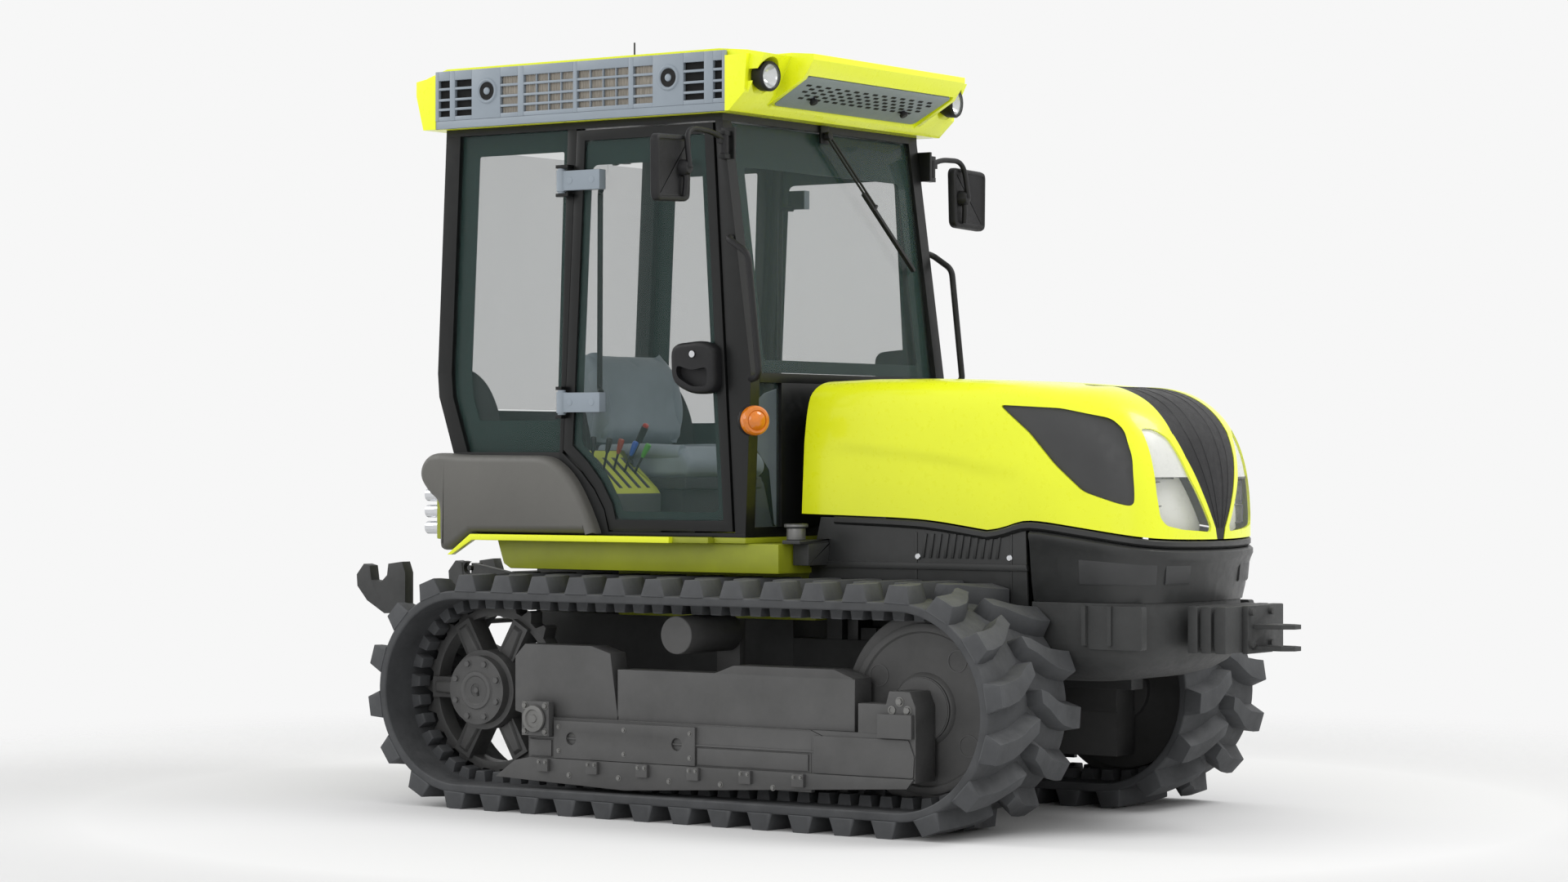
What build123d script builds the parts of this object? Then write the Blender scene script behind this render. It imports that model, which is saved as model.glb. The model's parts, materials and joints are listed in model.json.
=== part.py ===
from build123d import *
import math
import os

# Compact cab crawler tractor: rubber tracks, tilting hood, two-door cab, rear lift linkage.
# Frame: +X forward, +Y to the tractor's left, +Z up, origin on the ground at the middle of the
# overall length and width. All sizes in millimetres.

os.makedirs("parts", exist_ok=True)

# ---- fits -------------------------------------------------------------------------------
RUN = 0.05          # radial clearance of a shaft in its bore
SEAT = 0.3          # gap of soft or rolling pieces to what carries them

# ---- tracks -----------------------------------------------------------------------------
GAUGE = 1214.0      # centre to centre of the belts
BELT_WIDTH = 460.0
BELT_THICK = 28.0
BELT_OUTER_R = 328.0
LUG_HEIGHT = 52.0
LUG_COUNT = 36
WHEELBASE = 1696.0
SPROCKET_X = -844.0
DRIVE_LUGS = 72
DRIVE_LUG_HEIGHT = 35.0
DRIVE_LUG_IN = 40.0   # drive lug row, inner and outer distance from the belt's middle
DRIVE_LUG_OUT = 100.0
SPROCKET_TEETH = 24
SPROCKET_SPOKES = 6
SHAFT_R = 45.0
IDLER_PIN_R = 30.0
ROLLER_R = 75.0
ROLLER_COUNT = 6
ROLLER_PITCH = 198.0
ROLLER_FIRST_X = -497.0
ROLLER_AXLE_R = 18.0
CARRIER_R = 60.0
CARRIER_AXLE_R = 20.0

WHEEL_Z = LUG_HEIGHT + BELT_OUTER_R
IDLER_X = SPROCKET_X + WHEELBASE
BELT_INNER_R = BELT_OUTER_R - BELT_THICK
TRACK_Y = GAUGE / 2
BELT_FLOOR_Z = WHEEL_Z - BELT_INNER_R
ROLLER_Z = BELT_FLOOR_Z + ROLLER_R + SEAT
CARRIER_Z = WHEEL_Z + BELT_INNER_R - DRIVE_LUG_HEIGHT - CARRIER_R - SEAT

# ---- cab --------------------------------------------------------------------------------
CAB_HALF = 570.0      # outer face of the pillars
CAB_POST = 50.0       # depth of the pillars across the tractor
FLOOR_Z = 888.0
SILL_Z = 900.0
RAIL_Z = 2212.0       # underside of the top rails
ROOF_Z = 2235.0       # underside of the roof
BELTLINE_Z = 1158.0   # bottom of the side windows
COWL_Z = 1409.0       # bottom of the windshield
GLASS = 6.0
DOOR_THICK = 30.0
DOOR_RIM = 34.0
HINGE_PIN_R = 8.0
HINGE_X = -600.0
HINGE_Y = 592.0
ROOF_HALF = 620.0
VISOR_PANEL = 8.0
MIRROR_PIN_R = 6.0
MIRROR_X = 64.0
MIRROR_PIVOT_Y = CAB_HALF + 38
GRILLE_THICK = 20.0

# ---- hood -------------------------------------------------------------------------------
HOOD_WALL = 8.0
HOOD_HINGE = (266.0, 1342.0)
HOOD_PIN_R = 8.0


def box(x0, x1, y0, y1, z0, z1):
    """Solid box between two corners."""
    return Pos((x0 + x1) / 2, (y0 + y1) / 2, (z0 + z1) / 2) * Box(x1 - x0, y1 - y0, z1 - z0)


def prism_y(points, y0, y1):
    """Side-view outline (x, z) drawn across the tractor from y0 to y1."""
    wire = Wire.make_polygon([(x, y0, z) for x, z in points], close=True)
    return Solid.extrude(Face(wire), Vector(0, y1 - y0, 0))


def prism_x(points, x0, x1):
    """Front-view outline (y, z) drawn along the tractor from x0 to x1."""
    wire = Wire.make_polygon([(x0, y, z) for y, z in points], close=True)
    return Solid.extrude(Face(wire), Vector(x1 - x0, 0, 0))


def prism_z(points, z0, z1):
    """Plan-view outline (x, y) drawn upwards from z0 to z1."""
    wire = Wire.make_polygon([(x, y, z0) for x, y in points], close=True)
    return Solid.extrude(Face(wire), Vector(0, 0, z1 - z0))


def rod(start, end, radius):
    """Round bar between two points."""
    start, end = Vector(*start), Vector(*end)
    return Solid.make_cylinder(radius, (end - start).length, Plane(start, z_dir=end - start))


def disc_y(x, z, radius, y0, y1):
    """Round bar across the tractor."""
    return rod((x, y0, z), (x, y1, z), radius)


def tube_path(points, bend, radius):
    """Bent round tube through points, one bend radius at every inner point."""
    path = FilletPolyline(*points, radius=bend)
    first = Vector(*points[1]) - Vector(*points[0])
    return sweep(Plane(points[0], z_dir=first) * Circle(radius), path)


def solids_of(*shapes):
    """Flat list of the solids in shapes, lists included."""
    found = []
    for shape in shapes:
        if isinstance(shape, (list, tuple)):
            found += solids_of(*shape)
        else:
            found += shape.solids()
    return found


def flipped(shapes):
    """Mirror image on the other side of the centre plane."""
    return [mirror(s, about=Plane.XZ) for s in solids_of(shapes)]


def both(shapes):
    """A right-hand group with its left-hand twin."""
    return solids_of(shapes) + flipped(shapes)


def write(name, *shapes):
    solids = solids_of(*shapes)
    export_step(solids[0] if len(solids) == 1 else Compound(solids), f"parts/{name}.step")


# =========================================================================================
# Tracks
# =========================================================================================
ARC = math.pi * BELT_OUTER_R
LOOP = 2 * WHEELBASE + 2 * ARC


def loop_point(s, height):
    """Point on the belt loop at arc length s of the outer surface, height out from it."""
    s %= LOOP
    radius = BELT_OUTER_R + height
    if s < WHEELBASE:
        return (IDLER_X - s, WHEEL_Z - radius)
    if s < WHEELBASE + ARC:
        a = -math.pi / 2 - (s - WHEELBASE) / BELT_OUTER_R
        return (SPROCKET_X + radius * math.cos(a), WHEEL_Z + radius * math.sin(a))
    if s < 2 * WHEELBASE + ARC:
        return (SPROCKET_X + s - WHEELBASE - ARC, WHEEL_Z + radius)
    a = math.pi / 2 - (s - 2 * WHEELBASE - ARC) / BELT_OUTER_R
    return (IDLER_X + radius * math.cos(a), WHEEL_Z + radius * math.sin(a))


def loop_edges(s0, s1, height, y):
    """Straight and arc edges that follow the loop from s0 to s1."""
    joints = [0, WHEELBASE, WHEELBASE + ARC, 2 * WHEELBASE + ARC]
    cuts = [s0] + sorted(j + t for j in joints for t in (0, LOOP) if s0 + 0.5 < j + t < s1 - 0.5) + [s1]
    edges = []
    for a, b in zip(cuts, cuts[1:]):
        (xa, za), (xm, zm), (xb, zb) = (loop_point(s, height) for s in (a, (a + b) / 2, b - 1e-7))
        bend = abs((xb - xa) * (zm - za) - (zb - za) * (xm - xa))
        if bend < 1.0:
            edges.append(Line((xa, y, za), (xb, y, zb)))
        else:
            edges.append(ThreePointArc((xa, y, za), (xm, y, zm), (xb, y, zb)))
    return edges


def toothed_wire(count, root, tip, foot, crest, phase, y):
    """Closed loop with count teeth from height root to height tip."""
    pitch = LOOP / count
    edges = []
    for i in range(count):
        mid = (i + phase) * pitch
        a, b = mid - foot / 2, mid + foot / 2
        corners = [loop_point(a, root), loop_point(mid - crest / 2, tip),
                   loop_point(mid + crest / 2, tip), loop_point(b, root)]
        corners = [(x, y, z) for x, z in corners]
        edges += [Line(p, q) for p, q in zip(corners, corners[1:])]
        edges += loop_edges(b, mid + pitch - foot / 2, root, y)
    return Wire(edges)


def belt_band(y0, y1, phase, toothed):
    """One strip of the belt, as wide as y0 to y1."""
    outer = toothed_wire(LUG_COUNT, 0, LUG_HEIGHT, 92, 56, phase, y0)
    if toothed:
        deep = -BELT_THICK - DRIVE_LUG_HEIGHT
        inner = toothed_wire(DRIVE_LUGS, -BELT_THICK, deep, 46, 40, 0.5, y0)
    else:
        inner = Wire(loop_edges(0, LOOP, -BELT_THICK, y0))
    return Solid.extrude(Face(outer, [inner]), Vector(0, y1 - y0, 0))


def belt():
    """Endless rubber belt: two staggered rows of tread lugs, two rows of drive lugs."""
    half = BELT_WIDTH / 2
    cuts = [-half, -DRIVE_LUG_OUT, -DRIVE_LUG_IN, 0, DRIVE_LUG_IN, DRIVE_LUG_OUT, half]
    strips = []
    for a, b in zip(cuts, cuts[1:]):
        toothed = abs(a + b) / 2 > DRIVE_LUG_IN and abs(a + b) / 2 < DRIVE_LUG_OUT
        strips.append(belt_band(-TRACK_Y + a, -TRACK_Y + b, 0.25 if b <= 0 else 0.75, toothed))
    return strips[0].fuse(*strips[1:])


def sprocket():
    """Spoked drive wheel with pointed teeth and a bolted hub cover."""
    face_in, face_out = -TRACK_Y + 30, -TRACK_Y - 30
    tip_r = BELT_INNER_R - 4
    root_r = BELT_INNER_R - 34
    rim_in_r = root_r - 26
    star = []
    for i in range(SPROCKET_TEETH):
        a = 2 * math.pi * i / SPROCKET_TEETH
        for part, r in ((-0.32, root_r), (-0.08, tip_r), (0.08, tip_r), (0.32, root_r)):
            t = a + part * 2 * math.pi / SPROCKET_TEETH
            star.append((SPROCKET_X + r * math.cos(t), WHEEL_Z + r * math.sin(t)))
    rim = prism_y(star, face_out, face_in) - disc_y(SPROCKET_X, WHEEL_Z, rim_in_r, face_out, face_in)
    hub = disc_y(SPROCKET_X, WHEEL_Z, 130, -TRACK_Y - 93, -TRACK_Y + 60)
    cap = disc_y(SPROCKET_X, WHEEL_Z, 112, -TRACK_Y - 125, -TRACK_Y - 93)
    wheel = rim + hub + cap
    for i in range(SPROCKET_SPOKES):
        arm = box(SPROCKET_X + 110, SPROCKET_X + rim_in_r + 8, face_out - 20, face_in, WHEEL_Z - 34,
                  WHEEL_Z + 34)
        wheel += arm.rotate(Axis((SPROCKET_X, 0, WHEEL_Z), (0, 1, 0)), 60 * i)
    for i in range(8):
        bolt = disc_y(SPROCKET_X + 92, WHEEL_Z, 9, -TRACK_Y - 133, -TRACK_Y - 120)
        wheel += bolt.rotate(Axis((SPROCKET_X, 0, WHEEL_Z), (0, 1, 0)), 22.5 + 45 * i)
    return wheel - disc_y(SPROCKET_X, WHEEL_Z, SHAFT_R + RUN, -TRACK_Y - 88, -TRACK_Y + 70)


def idler():
    """Front guide wheel: rolling tread between the drive lugs, dished side plates, hub."""
    x, z = IDLER_X, WHEEL_Z
    tread = disc_y(x, z, BELT_INNER_R - 3, -TRACK_Y - 34, -TRACK_Y + 34)
    plates = disc_y(x, z, BELT_INNER_R - DRIVE_LUG_HEIGHT - 5, -TRACK_Y - 58, -TRACK_Y + 58)
    hub = disc_y(x, z, 100, -TRACK_Y - 79, -TRACK_Y + 79)
    return tread + plates + hub - disc_y(x, z, IDLER_PIN_R + RUN, -TRACK_Y - 80, -TRACK_Y + 80)


def carrier_roller():
    """Top roller that carries the belt's drive lugs."""
    body = disc_y(0, CARRIER_Z, CARRIER_R, -TRACK_Y - 170, -TRACK_Y + 108)
    return body - disc_y(0, CARRIER_Z, CARRIER_AXLE_R + RUN, -TRACK_Y - 150, -TRACK_Y + 110)


def bottom_rollers():
    """Lower rollers on their axles, held between the side plates of the track frame."""
    group = []
    for i in range(ROLLER_COUNT):
        x = ROLLER_FIRST_X + i * ROLLER_PITCH
        drum = disc_y(x, ROLLER_Z, ROLLER_R, -TRACK_Y - 34, -TRACK_Y + 34)
        hub = disc_y(x, ROLLER_Z, 32, -TRACK_Y - 110, -TRACK_Y + 110)
        axle = disc_y(x, ROLLER_Z, ROLLER_AXLE_R, FRAME_OUT + 20, FRAME_IN - 20)
        group.append(drum + hub + axle)
    return group


FRAME_OUT = -TRACK_Y - 193    # outer and inner faces of the track frame
FRAME_IN = -TRACK_Y + 197
BEAM_Z0, BEAM_Z1 = 242.0, 311.0
BEAM_END = 530.0
FORK_IN = TRACK_Y - 83
FORK_OUT = TRACK_Y + 83
UPPER_OUT = -TRACK_Y - 175


def track_frame():
    """Track frame of the right side, built from plates and boxes that meet face to face."""
    beam = box(-BEAM_END, BEAM_END, FRAME_OUT, FRAME_IN, BEAM_Z0, BEAM_Z1)
    outer_plate = box(-569, BEAM_END, FRAME_OUT, FRAME_OUT + 20, 122, BEAM_Z0)
    inner_plate = box(-569, BEAM_END, FRAME_IN - 20, FRAME_IN, 122, BEAM_Z0)
    rear_plate = box(-569, -BEAM_END, FRAME_OUT, FRAME_OUT + 20, BEAM_Z0, BEAM_Z1)
    fork_end = IDLER_X + 53
    fork_out = box(BEAM_END, fork_end, FRAME_OUT, -FORK_OUT, 168, BEAM_Z1)
    fork_in = box(BEAM_END, fork_end, -FORK_IN, FRAME_IN, 168, BEAM_Z1)
    block_side = [(fork_end - 205, BEAM_Z1), (fork_end, BEAM_Z1), (fork_end, WHEEL_Z + 15),
                  (fork_end - 20, WHEEL_Z + 60),
                  (IDLER_X - 40, WHEEL_Z + 60), (IDLER_X - 52, WHEEL_Z + 20), (fork_end - 205, WHEEL_Z + 20)]
    block_out = prism_y(block_side, FRAME_OUT, -FORK_OUT)
    block_in = prism_y(block_side, -FORK_IN, FRAME_IN)
    upper = box(-225, 675, UPPER_OUT, -FORK_OUT, BEAM_Z1, 470)
    hump = prism_y([(150, 470), (675, 470), (600, 497), (225, 497)], UPPER_OUT, -FORK_OUT)
    upper_in = box(-225, BEAM_END, -FORK_OUT, FRAME_IN, BEAM_Z1, 420)
    cover_side = [(-640, 325), (-640, 500), (-600, 541), (-330, 541), (-255, 520), (-225, BEAM_Z1),
                  (-585, BEAM_Z1)]
    rear_cover = prism_y(cover_side, UPPER_OUT, -FORK_OUT - 10)
    housing = box(-578, -468, FRAME_OUT - 26, FRAME_OUT, 251, 361)
    housing_cap = disc_y(-523, 306, 34, FRAME_OUT - 34, FRAME_OUT - 26)
    plate = box(-460, 97, FRAME_OUT - 10, FRAME_OUT, 182, 302)
    for x in (-390, 27):
        plate -= disc_y(x, 246, 20, FRAME_OUT - 12, FRAME_OUT + 2)
    guard_side = [(-700, 112), (-180, 92), (fork_end - 25, 150), (fork_end, 180), (-560, 180), (-620, 168)]
    guard = prism_y(guard_side, FRAME_OUT - 10, FRAME_OUT)
    clips = []
    for i in range(ROLLER_COUNT):
        x = ROLLER_FIRST_X + i * ROLLER_PITCH
        clips.append(box(x - 22, x + 22, FRAME_OUT - 24, FRAME_OUT - 10, 138, 178))
    idler_pin = disc_y(IDLER_X, WHEEL_Z, IDLER_PIN_R, -FORK_OUT, -FORK_IN)
    post = box(-45, 45, -TRACK_Y + 112, -TRACK_Y + 142, 420, CARRIER_Z + 40)
    carrier_axle = disc_y(0, CARRIER_Z, CARRIER_AXLE_R, -TRACK_Y - 149, -TRACK_Y + 112)
    return [beam, outer_plate, inner_plate, rear_plate, fork_out, fork_in, block_out, block_in, upper,
            hump, upper_in, rear_cover, housing, housing_cap, plate, guard, clips, idler_pin, post,
            carrier_axle]


# =========================================================================================
# Chassis, engine and front end
# =========================================================================================
AXLE_HOUSING_R = 112.0
CASE_HALF = 290.0
NOSE_X0 = 1070.0
BALLAST_X0, BALLAST_X1 = 1492.0, 1622.0
BALLAST_HALF = 190.0
HITCH_Z_TOP, HITCH_Z_LOW = 627.0, 561.0
HITCH_PLATE = 14.0
HITCH_X = 1768.0
HITCH_PIN_R = 13.0
LINK_PIVOT = (-1040.0, 430.0)
LINK_Y = 250.0
LINK_PIN_R = 14.0
ROCK_AXIS = (-1100.0, 700.0)
ROCK_R = 30.0
LIFT_ARM_END = (-1290.0, 760.0)
LIFT_ROD_X = -1300.0


def link_z(x):
    """Height of the lower link's middle line at x."""
    return LINK_PIVOT[1] + (x - LINK_PIVOT[0]) * (620.0 - LINK_PIVOT[1]) / (-1590.0 - LINK_PIVOT[0])


def chassis_hull():
    """Gearbox and rear axle casting, front rails, cross tubes and the linkage brackets."""
    case = box(-940, 110, -CASE_HALF, CASE_HALF, 320, 620)
    tower = box(-1000, -560, -220, 220, 620, 768)
    rear = box(-1000, -940, -220, 220, 340, 620)
    rails = both(box(110, NOSE_X0, -CASE_HALF, -215, 400, 560))
    housing = both(disc_y(SPROCKET_X, WHEEL_Z, AXLE_HOUSING_R, -TRACK_Y + 75, -CASE_HALF))
    shaft = both(disc_y(SPROCKET_X, WHEEL_Z, SHAFT_R, -TRACK_Y - 80, -TRACK_Y + 75))
    cross = both([box(x - 45, x + 45, FRAME_IN, -CASE_HALF, 255, 400) for x in (-350, 60)])
    front_cross = box(440, 500, FRAME_IN, -FRAME_IN, 330, 400)
    ears = []
    for y in (-LINK_Y - 32, -LINK_Y + 18):
        ears.append(prism_y([(-1072, 400), (-1072, 460), (-1000, 490), (-1000, 370)], y, y + 14))
    plate = box(-1000, -940, -LINK_Y - 40, -220, 360, 500)
    pin = disc_y(*LINK_PIVOT, LINK_PIN_R, -LINK_Y - 18, -LINK_Y + 18)
    rock_boss = box(-1142, -1000, -180, 180, 650, 750) - disc_y(*ROCK_AXIS, ROCK_R + RUN, -190, 190)
    return case, tower, rear, rails, housing, shaft, cross, front_cross, both(ears), both(plate), \
        both(pin), rock_boss


def engine():
    """Engine block with head, sump and front pulley cover; the radiator stands ahead of it."""
    block = box(330, 860, -200, 200, 570, 900)
    head = box(360, 830, -130, 130, 900, 1110)
    manifold = box(400, 790, -190, -130, 930, 1030)
    filter_drum = rod((420, 165, 1010), (640, 165, 1010), 35)
    feet = both([box(x, x + 60, -290, -200, 560, 600) for x in (370, 760)])
    cover = box(860, 890, -150, 150, 620, 1020)
    core = box(985, 1045, -270, 270, 600, 1190)
    header = box(975, 1055, -270, 270, 1190, 1225)
    tray = both(box(975, 1055, -270, -215, 560, 600))
    return block, head, manifold, filter_drum, feet, cover, core, header, tray


HOOD_SEAM_X = 1039.0
HOOD_EDGE = [(196, 962), (620, 950), (820, 928), (895, 918), (960, 930), (1048, 948), (1250, 925),
             (1440, 898), (1530, 888)]
NOSE_PLAN = [(1039, 378), (1250, 378), (1360, 366), (1420, 340), (1465, 270), (1490, 160), (1500, 60)]
PANEL_HALF = 366.0
PANEL_X0 = 310.0
PANEL_WALL = 10.0


def plan_both(points):
    """Closed plan outline from its left half, front to back."""
    return points + [(x, -y) for x, y in reversed(points)]


def side_panels():
    """Fixed louvred side sheets between the cab and the nose."""
    top = [(x, z - 6) for x, z in HOOD_EDGE if x < HOOD_SEAM_X]
    seam = HOOD_SEAM_X - 2
    outline = [(PANEL_X0, 660), (PANEL_X0, 952)] + top[1:] + [(seam, 940), (seam, 660)]
    sheet = prism_y(outline, -PANEL_HALF, -PANEL_HALF + PANEL_WALL)
    ledge = box(PANEL_X0, HOOD_SEAM_X - 2, -PANEL_HALF - 8, -PANEL_HALF, 792, 812)
    for i in range(3):
        sheet -= box(620, 930, -PANEL_HALF - 1, -PANEL_HALF + PANEL_WALL + 1, 842 + 24 * i, 850 + 24 * i)
    bolts = [disc_y(x, 830, 8, -PANEL_HALF - 6, -PANEL_HALF) for x in (637, 971)]
    foot = box(PANEL_X0 + 10, 1000, -PANEL_HALF, -CASE_HALF, 640, 660)
    hanger = both([box(x, x + 40, -CASE_HALF, -215, 560, 660) for x in (322, 925)])
    return both([sheet, ledge, bolts, foot]), hanger


def lower_nose():
    """Hollow bumper moulding under the hood's front."""
    top = [(x, z - 5) for x, z in HOOD_EDGE if x > HOOD_SEAM_X]
    side = [(HOOD_SEAM_X, 700), (HOOD_SEAM_X, 942)] + top + [(1530, 860), (1500, 800), (1478, 700)]
    shell = prism_y(side, -400, 400) & prism_z(plan_both(NOSE_PLAN), 690, 960)
    hollow_plan = [(x - PANEL_WALL, y - PANEL_WALL) for x, y in NOSE_PLAN]
    hollow_plan[0] = (HOOD_SEAM_X - 1, NOSE_PLAN[0][1] - PANEL_WALL)
    hollow_side = [(HOOD_SEAM_X - 1, 690), (HOOD_SEAM_X - 1, 970), (1520, 970), (1490, 800), (1466, 690)]
    hollow = prism_y(hollow_side, -400, 400) & prism_z(plan_both(hollow_plan), 680, 970)
    return shell - hollow


def nose_casting():
    """Front weight carrier: rounded casting with side blocks."""
    plan = [(NOSE_X0, 360), (1300, 360), (1420, 330), (1480, 230), (BALLAST_X0, 120)]
    side = [(NOSE_X0, 470), (1150, 445), (1400, 450), (1470, 500), (BALLAST_X0, 560),
            (BALLAST_X0, 700), (NOSE_X0, 700)]
    body = prism_y(side, -380, 380) & prism_z(plan_both(plan), 440, 700)
    blocks = both([box(1245, 1290, -405, -355, 567, 700), box(1310, 1440, -405, -300, 567, 700)])
    shape = body
    for block in blocks:
        shape += block
    return shape


def front_ballast():
    """Stack of ribbed weight plates hung on the nose."""
    plates = []
    x = BALLAST_X0
    for width, drop in ((34, 0), (12, 14), (34, 0), (12, 14), (38, 0)):
        plates.append(box(x, x + width, -BALLAST_HALF + drop, BALLAST_HALF - drop, 548 + drop, 690 - drop))
        x += width
    return plates


def tow_clevis():
    """Bolted hitch with two plates and an upright pin bore."""
    back = box(BALLAST_X1, BALLAST_X1 + 18, -82, 82, 545, 690)
    face = BALLAST_X1 + 18
    bolts = [rod((face, y, z), (face + 12, y, z), 11) for y in (-63, 63) for z in (575, 672)]
    hitch = back
    for bolt in bolts:
        hitch += bolt
    for z in (HITCH_Z_TOP, HITCH_Z_LOW):
        plan = [(BALLAST_X1 + 18, -45), (HITCH_X - 34, -45), (HITCH_X, -20), (HITCH_X, 20),
                (HITCH_X - 34, 45), (BALLAST_X1 + 18, 45)]
        hitch += prism_z(plan, z - HITCH_PLATE / 2, z + HITCH_PLATE / 2)
    return hitch - rod((HITCH_X - 38, 0, 500), (HITCH_X - 38, 0, 700), HITCH_PIN_R)


# =========================================================================================
# Hood
# =========================================================================================
HOOD_TOP = [(196, 962), (215, 1190), (252, 1388), (520, 1392), (760, 1388), (960, 1376), (1130, 1362),
            (1290, 1335), (1380, 1300), (1440, 1240), (1466, 1170), (1498, 960), (1504, 905)]
HOOD_PLAN = [(190, 366), (520, 378), (1250, 378), (1360, 366), (1420, 340), (1465, 270), (1490, 160),
             (1504, 60)]
HOOD_FRONT = [(378, 860), (378, 1195), (350, 1300), (290, 1362), (170, 1386), (0, 1394)]


def hood_outline(shrink):
    """Side outline of the hood, drawn in by shrink along its top and nose."""
    low = [(x, z) for x, z in reversed(HOOD_EDGE)]
    top = []
    for x, z in HOOD_TOP:
        fall = max(0.0, min(1.0, (x - 1200) / 250))
        top.append((x - shrink * fall, z - shrink * (1 - fall)))
    if not shrink:
        return top + low[1:]
    return [(100, 800), (100, 1380)] + top[2:] + [(1490, 800)]


def hood_body(shrink):
    """Closed hood form from its three views, drawn in by shrink on every side."""
    plan = [(x - shrink * (x > 1300), y - shrink) for x, y in HOOD_PLAN]
    plan[0] = (190 - 90 * (shrink > 0), plan[0][1])
    front = [(y - shrink * (y > 0), z - shrink * (z > 900)) for y, z in HOOD_FRONT]
    front = front + [(-y, z) for y, z in reversed(front[:-1])]
    side = prism_y(hood_outline(shrink), -400, 400)
    return side & prism_z(plan_both(plan), 790, 1400) & prism_x(front, 90, 1540)


STRIPE_HALF = [(1066, 130), (1300, 172), (1358, 180), (1452, 178), (1474, 160), (1502, 70)]
GRILLE_SIDE = [(960, 1290), (1310, 1256), (1375, 1100), (1386, 1000), (1235, 1035), (1190, 1120)]
LAMP_FRONT = [(-318, 1215), (-255, 1205), (-190, 1076), (-100, 920), (-285, 945), (-330, 1076)]


def hood_parts():
    """Hood shell with its nose stripe, side mesh panels and headlights set into the skin."""
    skin = hood_body(0) - hood_body(HOOD_WALL)
    x, z = HOOD_HINGE
    lug_side = [(x - 12, z - 12), (x + 12, z - 12), (x + 60, z + 30), (x + 60, z + 60), (x - 12, z + 60)]
    lugs = both(prism_y(lug_side, -222, -192))
    for lug in lugs:
        skin += lug & hood_body(1)
    skin -= disc_y(x, z, HOOD_PIN_R + RUN, -270, 270)
    stripe_plan = [(960, 20)] + STRIPE_HALF[:3] + [(1540, 180)]
    stripe_zone = prism_z(plan_both(stripe_plan), 1150, 1400)
    stripe_zone += prism_x([(-180, 1150), (180, 1150), (70, 905), (-70, 905)], 1380, 1530)
    grille_zone = prism_y(GRILLE_SIDE, -390, -350)
    lamp_zone = prism_x(LAMP_FRONT, 1340, 1530)
    stripe = skin & stripe_zone
    grilles = both(skin & grille_zone)
    lamps = both((skin & lamp_zone) - stripe_zone)
    shell = skin - stripe_zone - grille_zone - lamp_zone - grille_zone.mirror(Plane.XZ)
    shell -= lamp_zone.mirror(Plane.XZ)
    return shell, stripe, grilles, lamps


# =========================================================================================
# Cab
# =========================================================================================
WINDSHIELD = [(116, COWL_Z), (122, COWL_Z), (20, RAIL_Z), (14, RAIL_Z)]
REAR_POST = [(-1107, RAIL_Z), (-1145, 1422), (-1085, 1422), (-1047, RAIL_Z)]
REAR_POST_LOW = [(-1145, 1422), (-1139, 1344), (-1076, BELTLINE_Z), (-1016, BELTLINE_Z), (-1079, 1344),
                 (-1085, 1422)]
B_POST = [(-626, BELTLINE_Z), (-612, BELTLINE_Z), (-556, RAIL_Z), (-592, RAIL_Z)]
A_POST = [(50, COWL_Z), (141, COWL_Z), (30, RAIL_Z), (2, RAIL_Z)]
A_POST_LOW = [(80, SILL_Z), (120, SILL_Z), (141, COWL_Z), (50, COWL_Z)]
DOOR = [(-551, 2206), (-4, 2206), (44, 1409), (74, 906), (-416, 906), (-436, 975), (-476, 1040),
        (-530, 1100), (-606, 1166)]
DOOR_GLASS = [(-517, 2172), (-36, 2172), (10, 1409), (38, 940), (-392, 940), (-405, 990), (-449, 1062),
              (-506, 1127), (-568, 1180)]
DOOR_OUT = CAB_HALF + 5
DOOR_IN = DOOR_OUT - DOOR_THICK
HINGE_ARMS = (2043.0, 1320.0)


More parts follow.
